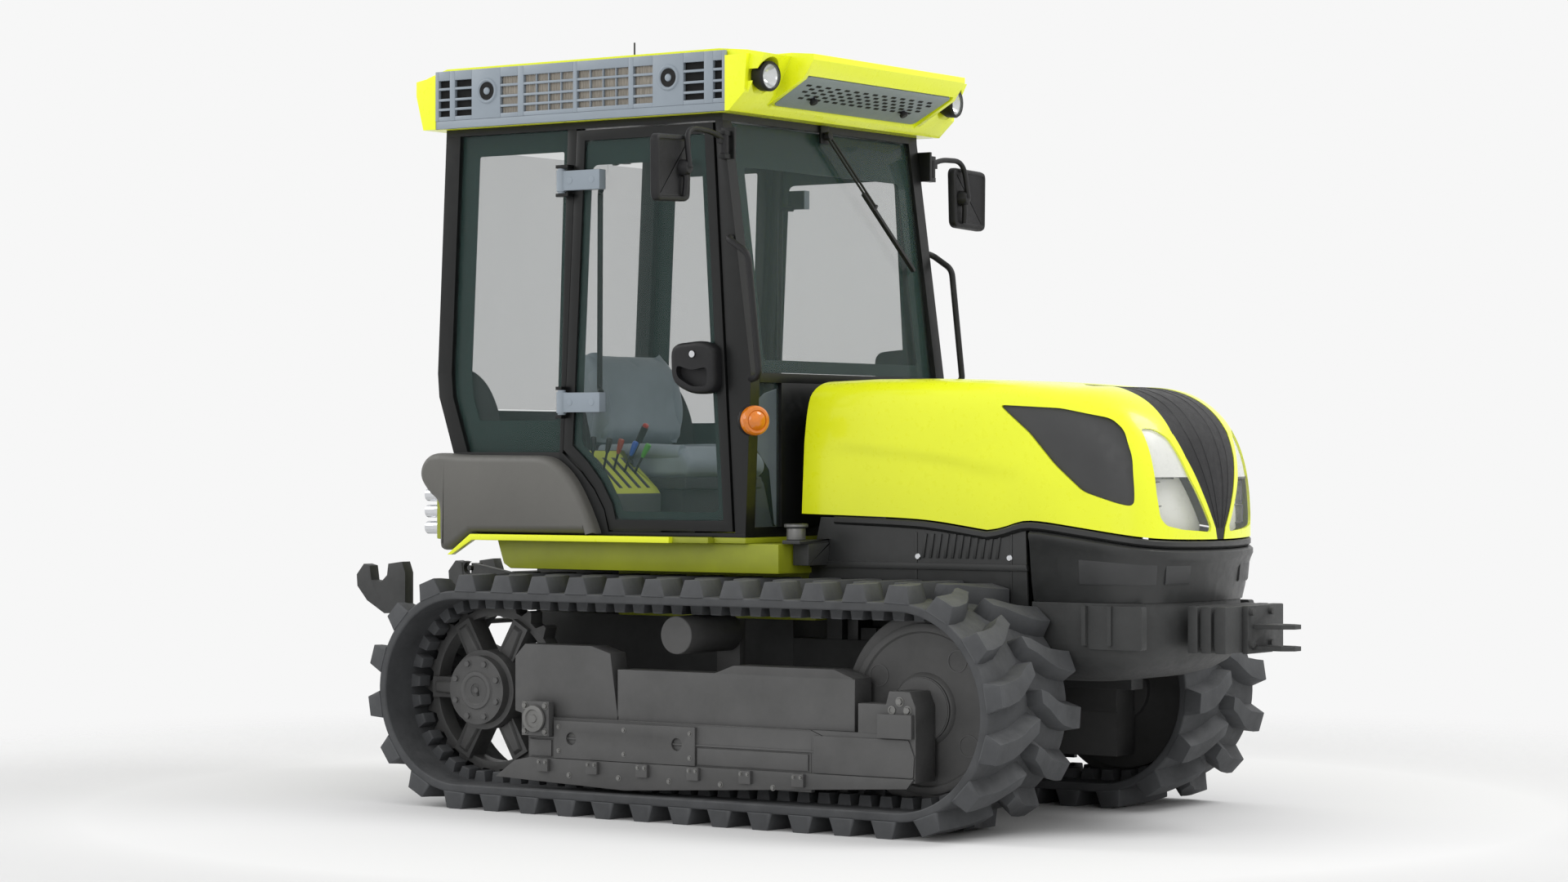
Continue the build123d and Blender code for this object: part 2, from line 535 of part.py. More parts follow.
def cab_frame():
    """Posts, rails, sills, firewall and inner linings, all meeting face to face."""
    inner = -CAB_HALF + CAB_POST
    posts = [prism_y(p, -CAB_HALF, inner) for p in (REAR_POST, REAR_POST_LOW, B_POST, A_POST, A_POST_LOW)]
    top_rail = box(-1107, 30, -CAB_HALF, inner, RAIL_Z, ROOF_Z)
    belt_rail = prism_y([(-1076, BELTLINE_Z - 48), (-1076, BELTLINE_Z), (-626, BELTLINE_Z),
                         (-626, BELTLINE_Z - 48)],
                        -CAB_HALF, inner)
    skirt_side = [(-626, BELTLINE_Z), (-614, BELTLINE_Z - 2), (-537, 1094), (-483, 1036), (-443, 972),
                  (-424, SILL_Z), (-1076, SILL_Z), (-1076, BELTLINE_Z - 48), (-626, BELTLINE_Z - 48)]
    skirt = prism_y(skirt_side, -CAB_HALF, -CAB_HALF + 25)
    sill = box(-1076, 120, -CAB_HALF, inner, FLOOR_Z, SILL_Z)
    hinge_ears = []
    for z in HINGE_ARMS:
        edge = B_POST[1][0] + (B_POST[2][0] - B_POST[1][0]) * (z - BELTLINE_Z) / (RAIL_Z - BELTLINE_Z)
        for low, high in ((z - 52, z - 41), (z + 41, z + 52)):
            ear = box(HINGE_X - 16, max(HINGE_X + 8, edge - 1), -HINGE_Y - 12, -CAB_HALF - 9, low, high)
            hinge_ears.append(ear + box(edge - 15, edge - 1, -CAB_HALF - 9, -CAB_HALF, low, high))
        hinge_ears.append(rod((HINGE_X, -HINGE_Y, z - 41), (HINGE_X, -HINGE_Y, z + 41), HINGE_PIN_R))
    mirror_mount = [box(34, 84, -CAB_HALF - 12, -CAB_HALF, 2085, 2185)]
    for low, high in ((2085, 2100), (2158, 2173)):
        mirror_mount.append(box(52, 76, -CAB_HALF - 50, -CAB_HALF - 12, low, high))
    mirror_mount.append(rod((MIRROR_X, -MIRROR_PIVOT_Y, 2100), (MIRROR_X, -MIRROR_PIVOT_Y, 2158),
                            MIRROR_PIN_R))
    side = [posts, top_rail, belt_rail, skirt, sill, hinge_ears, mirror_mount]
    front_rail = box(2, 30, inner, -inner, RAIL_Z, ROOF_Z)
    rear_rail = box(-1107, -1047, inner, -inner, RAIL_Z, ROOF_Z)
    cowl_rail = box(100, 141, inner, -inner, COWL_Z - 30, COWL_Z)
    front_sill = box(80, 120, inner, -inner, FLOOR_Z, SILL_Z + 20)
    firewall = box(120, 141, -400, 400, SILL_Z + 20, COWL_Z - 30)
    rear_lower = box(-1100, -1076, inner, -inner, SILL_Z, 1300)
    rear_sill = box(-1145, -1100, inner, -inner, 1270, 1300)
    liner = box(-1047, 2, inner, -inner, ROOF_Z - 10, ROOF_Z)
    x, z = HOOD_HINGE
    arms = []
    arm_side = [(141, z - 102), (141, z - 46), (x - 30, z - 12), (x - 14, z + 14), (x + 14, z + 14),
                (x + 14, z - 14), (x - 4, z - 32)]
    for low, high in ((-240, -222.5), (-191.5, -164)):
        arms.append(prism_y(arm_side, low, high))
    pin = disc_y(x, z, HOOD_PIN_R, -222.5, -191.5)
    wiper_plate = box(30, 38, -24, 24, 2176, ROOF_Z)
    return both(side), front_rail, rear_rail, cowl_rail, front_sill, firewall, rear_lower, rear_sill, \
        liner, both([arms, pin]), wiper_plate


def cab_glass():
    """Fixed panes: windshield, rear side windows, small lower front windows."""
    inner = -CAB_HALF + CAB_POST
    front = prism_y(WINDSHIELD, inner, -inner)
    side = [(-1016, BELTLINE_Z), (-1079, 1344), (-1085, 1422), (-1047, RAIL_Z), (-592, RAIL_Z),
            (-626, BELTLINE_Z)]
    rear_side = prism_y(side, -CAB_HALF + 14, -CAB_HALF + 14 + GLASS)
    low = box(124, 124 + GLASS, inner, -400, SILL_Z + 20, COWL_Z - 30)
    return front, both([rear_side, low])


REAR_HINGE = (-1112.0, 2190.0)


def rear_window():
    """Top-hinged rear pane with a bonded rim and its hinge knuckles."""
    inner = -CAB_HALF + CAB_POST + 4
    x, z = REAR_HINGE
    pane = prism_y([(x + 3, z - 12), (x + 9, z - 12), (x - 27, 1306), (x - 33, 1306)], inner, -inner)
    knuckles = both(disc_y(x, z, 12, -360, -320) + box(x, x + 9, -360, -320, z - 40, z))
    for knuckle in knuckles:
        pane += knuckle
    grip = box(x - 30, x - 8, -70, 70, 1330, 1350)
    pane += grip
    return pane - disc_y(x, z, 6 + RUN, -400, 400)


def rear_window_mounts():
    """Fixed hinge ears and pins of the rear window."""
    x, z = REAR_HINGE
    ears = [box(x - 10, x + 5, low, high, z - 10, ROOF_Z) for low, high in ((-374, -361), (-319, -306))]
    return both([ears, disc_y(x, z, 6, -361, -319)])


def visor_z(x):
    """Height of the visor panel's lower face."""
    return 2268 + (x - 120) * 78 / 139


def roof_shell():
    """Moulded roof with visor lip, end caps and lamp recesses; open underneath over the liner."""
    half = ROOF_HALF - GRILLE_THICK
    side = [(-1167, ROOF_Z), (-1197, 2350), (-1197, 2398), (-1160, 2412), (-1080, 2436), (40, 2436),
            (150, 2425), (215, 2412), (150, 2290), (90, ROOF_Z)]
    body = prism_y(side, -half, half)
    reach = CAB_HALF - CAB_POST
    cavity = prism_y([(-1047, ROOF_Z - 1), (-1047, 2390), (-1010, 2418), (0, 2418), (2, ROOF_Z - 1)],
                     -reach, reach)
    visor_side = [(121, 2262), (259, 2340), (300, 2398), (300, 2416), (215, 2424), (120, 2424), (100, 2262)]
    visor = prism_y(visor_side, -450, 450)
    caps = both([prism_y([(-1167, ROOF_Z), (-1197, 2350), (-1197, 2398), (-1114, 2412), (-1114, ROOF_Z)],
                         -ROOF_HALF, -half),
                 prism_y([(75, ROOF_Z), (75, 2410), (160, 2412), (150, 2290), (90, ROOF_Z)], -ROOF_HALF,
                         -half)])
    shell = body + visor
    for cap in caps:
        shell += cap
    shell -= cavity
    shell -= prism_y([(110, 2240), (266, 2330), (266, visor_z(266) + VISOR_PANEL),
                      (110, visor_z(110) + VISOR_PANEL)], -430, 430)
    lamp_seat = both(rod((150, -545, 2345), (300, -545, 2345), 58))
    for seat in lamp_seat:
        shell -= seat
    return shell


def roof_grilles():
    """Slotted side grilles of the roof and the perforated visor panel."""
    half = ROOF_HALF - GRILLE_THICK
    panel = box(-1114, 75, -ROOF_HALF, -half, ROOF_Z, 2410)
    for row in range(3):
        z = 2276 + 42 * row
        for x0, x1 in ((-1100, -1030), (-1015, -940), (-836, -530), (-516, -209), (-87, -10), (5, 62)):
            panel -= box(x0, x1, -ROOF_HALF - 1, -half - 6, z, z + 26)
    for x in (-892, -146):
        panel -= disc_y(x, 2364, 34, -ROOF_HALF - 1, -half - 8)
    visor = prism_y([(120, visor_z(120)), (259, visor_z(259)), (259, visor_z(259) + VISOR_PANEL),
                     (120, visor_z(120) + VISOR_PANEL)], -424, 424)
    for i in range(17):
        y = -400 + 50 * i
        visor -= box(160, 225, y - 14, y + 14, 2260, 2360)
    face = Vector(168, -266, visor_z(168))
    knobs = both(rod(face, face + Vector(0.49, 0, -0.87) * 12, 12))
    return both(panel), visor, knobs


def work_lamps():
    """Round lamps in the front corners and under the roof's rear end."""
    front = both(rod((150, -545, 2345), (206, -545, 2345), 46))
    rear = both([box(-1150, -1120, -470, -410, ROOF_Z - 45, ROOF_Z),
                 rod((-1150, -440, ROOF_Z - 24), (-1172, -440, ROOF_Z - 24), 20)])
    return front, rear


def antenna():
    """Short whip aerial on the roof."""
    return rod((-750, 0, 2436), (-750, 0, 2450), 16) + rod((-750, 0, 2450), (-750, 0, 2560), 3)


def grab_rails():
    """Bent tube rails beside the front posts."""
    y = -CAB_HALF
    rail = tube_path([(70, y, 1830), (70, y - 45, 1830), (122, y - 45, 1386), (122, y, 1386)], 22, 10)
    return both(rail)


def turn_signals():
    """Round indicator lamps on stalks beside the lower front windows."""
    stalk = box(135.6, 152, -590, -550, 1240, 1274)
    lens = rod((152, -582, 1257), (206, -582, 1257), 43)
    return both([stalk, lens])


def mirror_side():
    """Folding mirror: knuckle, bent tube arm and padded head."""
    y = -MIRROR_PIVOT_Y
    knuckle = rod((MIRROR_X, y, 2100.5), (MIRROR_X, y, 2157.5), 15)
    arm = tube_path([(MIRROR_X, y - 8, 2130), (MIRROR_X, y - 70, 2182), (MIRROR_X, -818, 2182),
                     (MIRROR_X, -818, 2060)], 26, 8)
    head = prism_z([(34, -966), (46, -974), (78, -960), (70, -760), (58, -752), (26, -766)], 1930, 2150)
    link = rod((MIRROR_X, -818, 2062), (MIRROR_X, -818, 2150), 9)
    shape = knuckle + arm + head + link
    return shape - rod((MIRROR_X, y, 2090), (MIRROR_X, y, 2170), MIRROR_PIN_R + RUN)


WIPER_PIVOT = (46.0, 0.0, 2200.0)
WIPER_REST = math.radians(46)


def wiper():
    """Twin-arm wiper parked towards the far post, with its spindle through the top rail."""
    slope = math.atan2(102, RAIL_Z - COWL_Z)
    normal = Vector(math.cos(slope), 0, math.sin(slope))
    down = Vector(math.sin(slope), 0, -math.cos(slope))
    along = Vector(0, math.sin(WIPER_REST), 0) + down * math.cos(WIPER_REST)
    across = along.cross(normal)
    pivot = Vector(*WIPER_PIVOT)
    spindle = rod(pivot - normal * 6, pivot + normal * 14, 14)
    shape = spindle
    for side in (-8, 8):
        start = pivot + across * side + normal * 4
        shape += rod(start, start + along * 330, 4)
    elbow = pivot + along * 330 + normal * 4
    shape += rod(elbow - across * 14, elbow + across * 14, 6)
    blade_plane = Plane(pivot + along * 440 - normal * 3, x_dir=along, z_dir=normal)
    shape += blade_plane * Box(360, 12, 14)
    return shape


def fenders():
    """Rear quarter skirts of the cab with a bright lower trim."""
    outer = [(-1184, 1082), (-1165, 1140), (-1110, 1156), (-640, 1148), (-598, 1118), (-520, 1030),
             (-452, 894),
             (-964, 894), (-1050, 840), (-1096, 840), (-1101, 980), (-1150, 1030)]
    skin = prism_y(outer, -ROOF_HALF, -CAB_HALF)
    bevel = prism_x([(-ROOF_HALF - 1, 1105), (-ROOF_HALF - 1, 1160), (-CAB_HALF - 12, 1160)], -1190, -400)
    trim = prism_y([(-1059, 818), (-1040, 818), (-952, 872), (0, 872), (0, 888), (-960, 888)],
                   -ROOF_HALF - 6, -ROOF_HALF + 14)
    return both([skin - bevel, trim])


def floor_tub():
    """Lower cab body: floor, tub sides above the belts, central tunnel and rear bulkhead."""
    floor = box(-1100, 120, -CAB_HALF, CAB_HALF, 868, FLOOR_Z)
    tray = both(prism_y([(-878, 790), (-850, 774), (233, 774), (233, 868), (-905, 868)], -CAB_HALF + 20,
                        -375))
    tunnel = box(-560, 233, -340, 340, 620, 774)
    deck = box(-905, 233, -375, 375, 774, 868)
    bulkhead = box(-1150, -1100, -CAB_HALF, CAB_HALF, 868, 1110)
    strip = both(prism_y([(-964, 868), (-964, FLOOR_Z), (0, FLOOR_Z), (0, 868)], -ROOF_HALF + 14,
                         -CAB_HALF))
    return floor, tray, tunnel, deck, bulkhead, strip


def cab_mounts():
    """Front cab brackets with rubber mounts."""
    plate = box(233, 300, -530, -366, 868, 880)
    arm = box(240, 300, -480, -366, 800, 868)
    foot = box(240, 300, -366, -CASE_HALF, 640, 880)
    low = box(240, 300, -CASE_HALF, -215, 560, 700)
    rubber = rod((266, -500, 880), (266, -500, 920), 30)
    cap = rod((266, -500, 920), (266, -500, 932), 38)
    return both([plate, arm, foot, low, rubber, cap])


def hydraulic_couplers():
    """Stack of quick couplers on the rear bulkhead."""
    stack = [rod((-1166, -505, z), (-1240, -505, z), 22) for z in (905, 960, 1015)]
    return box(-1166, -1150, -540, -470, 880, 1045), stack


# =========================================================================================
# Doors
# =========================================================================================
def door_frame():
    """Door rim with two hinge arms and the inner grab rod."""
    rim = prism_y(DOOR, -DOOR_OUT, -DOOR_IN) - prism_y(DOOR_GLASS, -DOOR_OUT - 1, -DOOR_IN + 1)
    arms = []
    for z in HINGE_ARMS:
        arm = box(HINGE_X, -437, -HINGE_Y - 10, -DOOR_OUT - 3, z - 32, z + 32)
        arm += box(-520, -437, -DOOR_OUT - 3, -DOOR_OUT + GLASS, z - 32, z + 32)
        arm += rod((HINGE_X, -HINGE_Y, z - 40.5), (HINGE_X, -HINGE_Y, z + 40.5), 13)
        arm -= rod((HINGE_X, -HINGE_Y, z - 60), (HINGE_X, -HINGE_Y, z + 60), HINGE_PIN_R + RUN)
        arms.append(arm)
    return rim, arms


def door_glass():
    pane = prism_y(DOOR_GLASS, -DOOR_OUT + GLASS, -DOOR_OUT + 2 * GLASS)
    return pane


BUTTON = (-52.0, 1469.0)
BUTTON_R = 11.0
HANDLE_FACE = DOOR_OUT + 42


def door_handle():
    """Lock housing with a finger recess behind its grip and a bore for the button."""
    outline = [(-150, 1500), (-20, 1512), (28, 1490), (32, 1345), (-60, 1340), (-140, 1380)]
    body = prism_y(outline, -HANDLE_FACE, -DOOR_OUT)
    body += box(-120, -20, -DOOR_OUT, -DOOR_OUT + GLASS, 1400, 1470)
    recess = prism_y([(-122, 1432), (-122, 1395), (-60, 1362), (4, 1362), (4, 1420)], -HANDLE_FACE - 1,
                     -DOOR_OUT - 12)
    x, z = BUTTON
    return body - recess - disc_y(x, z, BUTTON_R + RUN, -HANDLE_FACE - 1, -DOOR_OUT - 10)


def lock_button():
    x, z = BUTTON
    return disc_y(x, z, BUTTON_R, -HANDLE_FACE - 6, -DOOR_OUT - 17)


# =========================================================================================
# Cab interior
# =========================================================================================
SEAT_X0, SEAT_X1 = -800.0, -350.0
SEAT_HALF = 235.0
SEAT_Z = 1075.0
CONSOLE_RIGHT = -515.0
CONSOLE_LEFT = -249.0
CONSOLE_REAR_X = -690.0
CONSOLE_FRONT_X = -450.0
CONSOLE_TOP_Z = 1165.0
LEVER_COUNT = 5
LEVER_PITCH = 50.0
LEVER_FIRST_Y = -497.0
LEVER_LEAN = (4.0, 14.0, 18.0, 26.0, 32.0)
LEVER_PIVOT = (-553.0, 1045.0)
LEVER_PIN_R = 4.0
LEVER_SLOT = 7.0        # half width of a lever's slot
JOY_BALL_R = 14.0
JOY_LEAN = 29.0
JOY_PAD_Z = 1110.0      # flat seat of the joystick's ball
JOY = (-571.0, -264.0, JOY_PAD_Z + SEAT + JOY_BALL_R)


def console():
    """Right-hand lever console with a slot and a pivot pin for every lever."""
    front, rear, top = CONSOLE_FRONT_X, CONSOLE_REAR_X, CONSOLE_TOP_Z
    side = [(rear, FLOOR_Z), (rear, top), (rear + 85, top), (front - 15, top - 125), (front, top - 145),
            (front, FLOOR_Z)]
    body = prism_y(side, CONSOLE_RIGHT, CONSOLE_LEFT)
    body -= box(JOY[0] - 29, JOY[0] + 29, JOY[1] - 20, CONSOLE_LEFT + 1, JOY_PAD_Z, top + 1)
    x, z = LEVER_PIVOT
    pins = []
    for i in range(LEVER_COUNT):
        y = LEVER_FIRST_Y + i * LEVER_PITCH
        body -= box(x - 22, front - 18, y - LEVER_SLOT, y + LEVER_SLOT, z - 25, top + 1)
        pins.append(disc_y(x, z, LEVER_PIN_R, y - LEVER_SLOT, y + LEVER_SLOT))
    left = prism_y([(-1000, FLOOR_Z), (-1000, 1150), (-640, 1150), (-560, 1050), (-520, FLOOR_Z)], 300, 500)
    return body, pins, left


def lever(i):
    """One spool lever with its knob, leaning forward at rest."""
    x, z = LEVER_PIVOT
    y = LEVER_FIRST_Y + i * LEVER_PITCH
    lean = math.radians(LEVER_LEAN[i])

    def along(t):
        return x + t * math.sin(lean), y, z + t * math.cos(lean)

    eye = disc_y(x, z, 11, y - LEVER_SLOT + 2, y + LEVER_SLOT - 2)
    shape = eye + rod(along(9), along(130), 4) + rod(along(118), along(163), 9)
    return shape - disc_y(x, z, LEVER_PIN_R + RUN, y - LEVER_SLOT, y + LEVER_SLOT)


def joystick():
    """Steering joystick leaning forward out of its ball."""
    low, high, collar = -0.8 * JOY_BALL_R, 0.8 * JOY_BALL_R, 0.6 * JOY_BALL_R
    knuckle = [(0, low), (collar, low), (JOY_BALL_R, low / 3), (JOY_BALL_R, high / 3), (collar, high), (0, high)]
    shape = revolve(make_face(Polyline([(r, 0, h) for r, h in knuckle], close=True)), Axis.Z)
    shape += rod((0, 0, 8), (0, 0, 90), 6)
    shape += rod((0, 0, 80), (0, 0, 135), 12)
    shape += rod((0, 0, 130), (0, 0, 141), 6)
    return Pos(*JOY) * Rot(0, JOY_LEAN, 0) * shape


def dashboard():
    """Instrument cowl behind the windshield."""
    side = [(120, SILL_Z + 20), (120, COWL_Z - 31), (20, COWL_Z - 60), (-40, 1300), (-20, 1180),
            (40, 1100), (60, SILL_Z + 20)]
    return prism_y([(x - 0.5, z) for x, z in side], -330, 330)


BACK_FOOT = (-778.0, SEAT_Z + 95)    # lower and upper corners of the backrest's rear face
BACK_HEAD = (-862.0, 1495.0)


def seat_frame():
    """Seat base on its slide rails."""
    rails = both(box(-760, -380, -180, -150, FLOOR_Z + SEAT, FLOOR_Z + 20))
    base = box(-740, -400, -200, 200, FLOOR_Z + 20, SEAT_Z - 40)
    pan = box(SEAT_X0 + 20, SEAT_X1 - 20, -SEAT_HALF + 15, SEAT_HALF - 15, SEAT_Z - 40, SEAT_Z - SEAT)
    lean = (BACK_FOOT[0] - BACK_HEAD[0]) / (BACK_HEAD[1] - BACK_FOOT[1])
    foot_x, head_x = BACK_FOOT[0] - SEAT, BACK_HEAD[0] + lean * 15 - SEAT
    back = prism_y([(foot_x - 45, SEAT_Z - 40), (SEAT_X0 + 20, SEAT_Z - 40),
                    (SEAT_X0 + 20, SEAT_Z - SEAT), (foot_x, BACK_FOOT[1]),
                    (head_x, BACK_HEAD[1] - 15), (head_x - 25, BACK_HEAD[1] - 15)], -150, 150)
    return rails, base, pan, back


def seat_cushion():
    pad = [(SEAT_X0 + 22, SEAT_Z), (SEAT_X1, SEAT_Z), (SEAT_X1 + 12, SEAT_Z + 50),
           (SEAT_X1 - 30, SEAT_Z + 108), (SEAT_X0 + 36, SEAT_Z + 92)]
    return prism_y(pad, -SEAT_HALF, SEAT_HALF)


def seat_back():
    pad = [BACK_FOOT, BACK_HEAD, (-790, 1510), (-735, 1440), (-700, SEAT_Z + 130), (-745, SEAT_Z + 95)]
    return prism_y(pad, -SEAT_HALF, SEAT_HALF)


# =========================================================================================
# Rear linkage
# =========================================================================================
def lower_links():
    """Pair of lower lift links with open claw ends and lift rod pins."""
    x0, z0 = LINK_PIVOT
    bar = prism_y([(x0, z0 - 26), (-1590, 590), (-1590, 650), (x0, z0 + 26)], -LINK_Y - 15, -LINK_Y + 15)
    eye = disc_y(x0, z0, 32, -LINK_Y - 15, -LINK_Y + 15)
    claw = prism_y([(-1545, 600), (-1640, 596), (-1720, 640), (-1765, 690), (-1768, 730), (-1735, 768),
                    (-1708, 762), (-1700, 712), (-1655, 706), (-1628, 730), (-1622, 770), (-1560, 778),
                    (-1545, 740)],
                   -LINK_Y - 22, -LINK_Y + 22)
    shape = bar + eye + claw - disc_y(x0, z0, LINK_PIN_R + RUN, -LINK_Y - 30, -LINK_Y + 30)
    pin = disc_y(LIFT_ROD_X, link_z(LIFT_ROD_X), 10, -LINK_Y + 15, -LINK_Y + 42)
    tie_x = x0 - 140
    tie = disc_y(tie_x, link_z(tie_x), 13, -LINK_Y + 10, LINK_Y - 10)
    right, left = both(shape + pin)
    return right + left + tie


LIFT_Y = LINK_Y - 28.5


def lift_arms():
    """Rockshaft with its two lift arms."""
    shaft = disc_y(*ROCK_AXIS, ROCK_R, -LIFT_Y + 14, LIFT_Y - 14)
    x, z = LIFT_ARM_END
    arm_side = [(ROCK_AXIS[0] + 36, ROCK_AXIS[1] - 40), (ROCK_AXIS[0] + 36, ROCK_AXIS[1] + 40),
                (x - 24, z + 24), (x - 24, z - 24)]
    arms = both(prism_y(arm_side, -LIFT_Y - 12, -LIFT_Y + 14))
    shape = shaft
    for arm in arms:
        shape += arm
    return shape - disc_y(x, z, 22, -LIFT_Y - 20, LIFT_Y + 20)


def lift_rods():
    """Lift rods: eye on the lower link's pin, head pin loose in the lift arm's eye."""
    x, z = LIFT_ROD_X, link_z(LIFT_ROD_X)
    eye = disc_y(x, z, 24, -LIFT_Y - 12, -LIFT_Y + 12)
    bar_side = [(x - 14, z + 40), (x + 14, z + 40), (LIFT_ARM_END[0] + 14, LIFT_ARM_END[1] + 16),
                (LIFT_ARM_END[0] - 14, LIFT_ARM_END[1] + 16)]
    bar = prism_y(bar_side, -LIFT_Y + 20, -LIFT_Y + 46)
    foot = box(x - 17, x + 17, -LIFT_Y - 12, -LIFT_Y + 46, z + 15, z + 70)
    head = disc_y(LIFT_ARM_END[0], LIFT_ARM_END[1], 9, -LIFT_Y - 10, -LIFT_Y + 30)
    shape = eye + foot + bar + head - disc_y(x, z, 10 + RUN, -LIFT_Y - 14, -LIFT_Y + 14)
    tie = disc_y(x, z + 52, 9, -LIFT_Y + 40, LIFT_Y - 40)
    right, left = both(shape)
    return right + left + tie


# =========================================================================================
# Write every sub-part
# =========================================================================================
def write_pair(stem, shape):
    """Right-hand sub-part and its mirror image."""
    write(f"right_{stem}", shape)
    write(f"left_{stem}", flipped(shape))


write("chassis_hull", chassis_hull())
write("engine", engine())
write("side_panels", side_panels())
write("lower_nose", lower_nose())
write("nose_casting", nose_casting())
write("front_ballast", front_ballast())
write("tow_clevis", tow_clevis())
write("cab_mounts", cab_mounts())
write("floor_tub", floor_tub())
write("fenders", fenders())
write("cab_frame", cab_frame(), rear_window_mounts())
write("cab_glass", cab_glass())
write("rear_window", rear_window())
write("roof_shell", roof_shell())
write("roof_grilles", roof_grilles())
write("work_lamps", work_lamps())
write("antenna", antenna())
write("grab_rails", grab_rails())
write("turn_signals", turn_signals())
write("wiper", wiper())
write("console", console())
write("dashboard", dashboard())
write("joystick", joystick())
for number in range(LEVER_COUNT):
    write(f"lever_{number + 1}", lever(number))
write("seat_frame", seat_frame())
write("seat_cushion", seat_cushion())
write("seat_back", seat_back())
write("hydraulic_couplers", hydraulic_couplers())
hood_shell, hood_stripe, hood_grilles, headlights = hood_parts()
write("hood_shell", hood_shell)
write("hood_stripe", hood_stripe)
write("hood_grilles", hood_grilles)
write("headlights", headlights)
write("lower_links", lower_links())
write("lift_arms", lift_arms())
write("lift_rods", lift_rods())
write("bottom_rollers", both(bottom_rollers()))
write_pair("track_frame", track_frame())
write_pair("track_belt", belt())
write_pair("sprocket", sprocket())
write_pair("idler", idler())
write_pair("carrier_roller", carrier_roller())
write_pair("mirror", mirror_side())
write_pair("door_frame", door_frame())
write_pair("door_glass", door_glass())
write_pair("door_handle", door_handle())
write_pair("lock_button", lock_button())
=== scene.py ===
"""Visual model of a compact crawler tractor with cab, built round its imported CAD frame.

Helpers take millimetres in the row frame (+X forward, +Y left, +Z up) and make metres.
"""
import bpy
import bmesh
import json
import math
from mathutils import Matrix, Vector
from mathutils.bvhtree import BVHTree


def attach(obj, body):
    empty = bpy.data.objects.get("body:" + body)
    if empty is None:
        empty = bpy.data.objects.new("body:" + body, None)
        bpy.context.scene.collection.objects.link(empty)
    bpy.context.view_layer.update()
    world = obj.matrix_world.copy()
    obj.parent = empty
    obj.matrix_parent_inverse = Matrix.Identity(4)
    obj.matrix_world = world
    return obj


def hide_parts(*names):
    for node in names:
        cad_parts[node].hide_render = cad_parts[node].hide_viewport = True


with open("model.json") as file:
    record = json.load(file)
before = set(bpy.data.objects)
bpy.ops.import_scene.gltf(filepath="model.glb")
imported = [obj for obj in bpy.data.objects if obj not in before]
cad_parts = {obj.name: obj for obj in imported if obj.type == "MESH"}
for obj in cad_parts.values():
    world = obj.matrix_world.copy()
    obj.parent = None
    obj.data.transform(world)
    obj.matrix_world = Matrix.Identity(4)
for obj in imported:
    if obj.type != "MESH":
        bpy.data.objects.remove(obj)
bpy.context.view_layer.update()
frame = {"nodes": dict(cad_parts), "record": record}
MM = 0.001
NODES = frame["nodes"]
NODE_BODY = {n: b for b, ns in frame["record"]["behaviour"]["bodies"].items() for n in ns}
SIDES = (("right", -1), ("left", 1))


# ---- materials -----------------------------------------------------------------------------
def new_tree(name):
    mat = bpy.data.materials.new(name)
    mat.use_nodes = True
    tree = mat.node_tree
    shader = tree.nodes["Principled BSDF"]
    coords = tree.nodes.new("ShaderNodeTexCoord")
    return mat, tree, shader, coords.outputs["Object"]


def noise_tex(tree, coords, scale, detail=4.0, rough=0.55, stretch=None):
    if stretch:
        mapping = tree.nodes.new("ShaderNodeMapping")
        mapping.inputs["Scale"].default_value = stretch
        tree.links.new(coords, mapping.inputs["Vector"])
        coords = mapping.outputs["Vector"]
    node = tree.nodes.new("ShaderNodeTexNoise")
    node.inputs["Scale"].default_value = scale
    node.inputs["Detail"].default_value = detail
    node.inputs["Roughness"].default_value = rough
    tree.links.new(coords, node.inputs["Vector"])
    return node.outputs["Fac"]


def ramp(tree, fac, stops):
    node = tree.nodes.new("ShaderNodeValToRGB")
    els = node.color_ramp.elements
    while len(els) < len(stops):
        els.new(0.5)
    for el, (pos, color) in zip(els, stops):
        el.position = pos
        el.color = (*color, 1.0) if len(color) == 3 else color
    tree.links.new(fac, node.inputs["Fac"])
    return node.outputs["Color"]


def mix_color(tree, fac, a, b, mode="MIX"):
    node = tree.nodes.new("ShaderNodeMix")
    node.data_type = "RGBA"
    node.blend_type = mode
    for value, socket in ((fac, node.inputs[0]), (a, node.inputs[6]), (b, node.inputs[7])):
        if isinstance(value, bpy.types.NodeSocket):
            tree.links.new(value, socket)
        elif socket.type == "RGBA":
            socket.default_value = (*value, 1.0)
        else:
            socket.default_value = value
    return node.outputs[2]


def remap(tree, fac, low, high):
    node = tree.nodes.new("ShaderNodeMapRange")
    node.inputs["From Min"].default_value = 0.3
    node.inputs["From Max"].default_value = 0.7
    node.inputs["To Min"].default_value = low
    node.inputs["To Max"].default_value = high
    tree.links.new(fac, node.inputs["Value"])
    return node.outputs["Result"]


def tint(color, k):
    return tuple(min(1.0, c * k) for c in color)


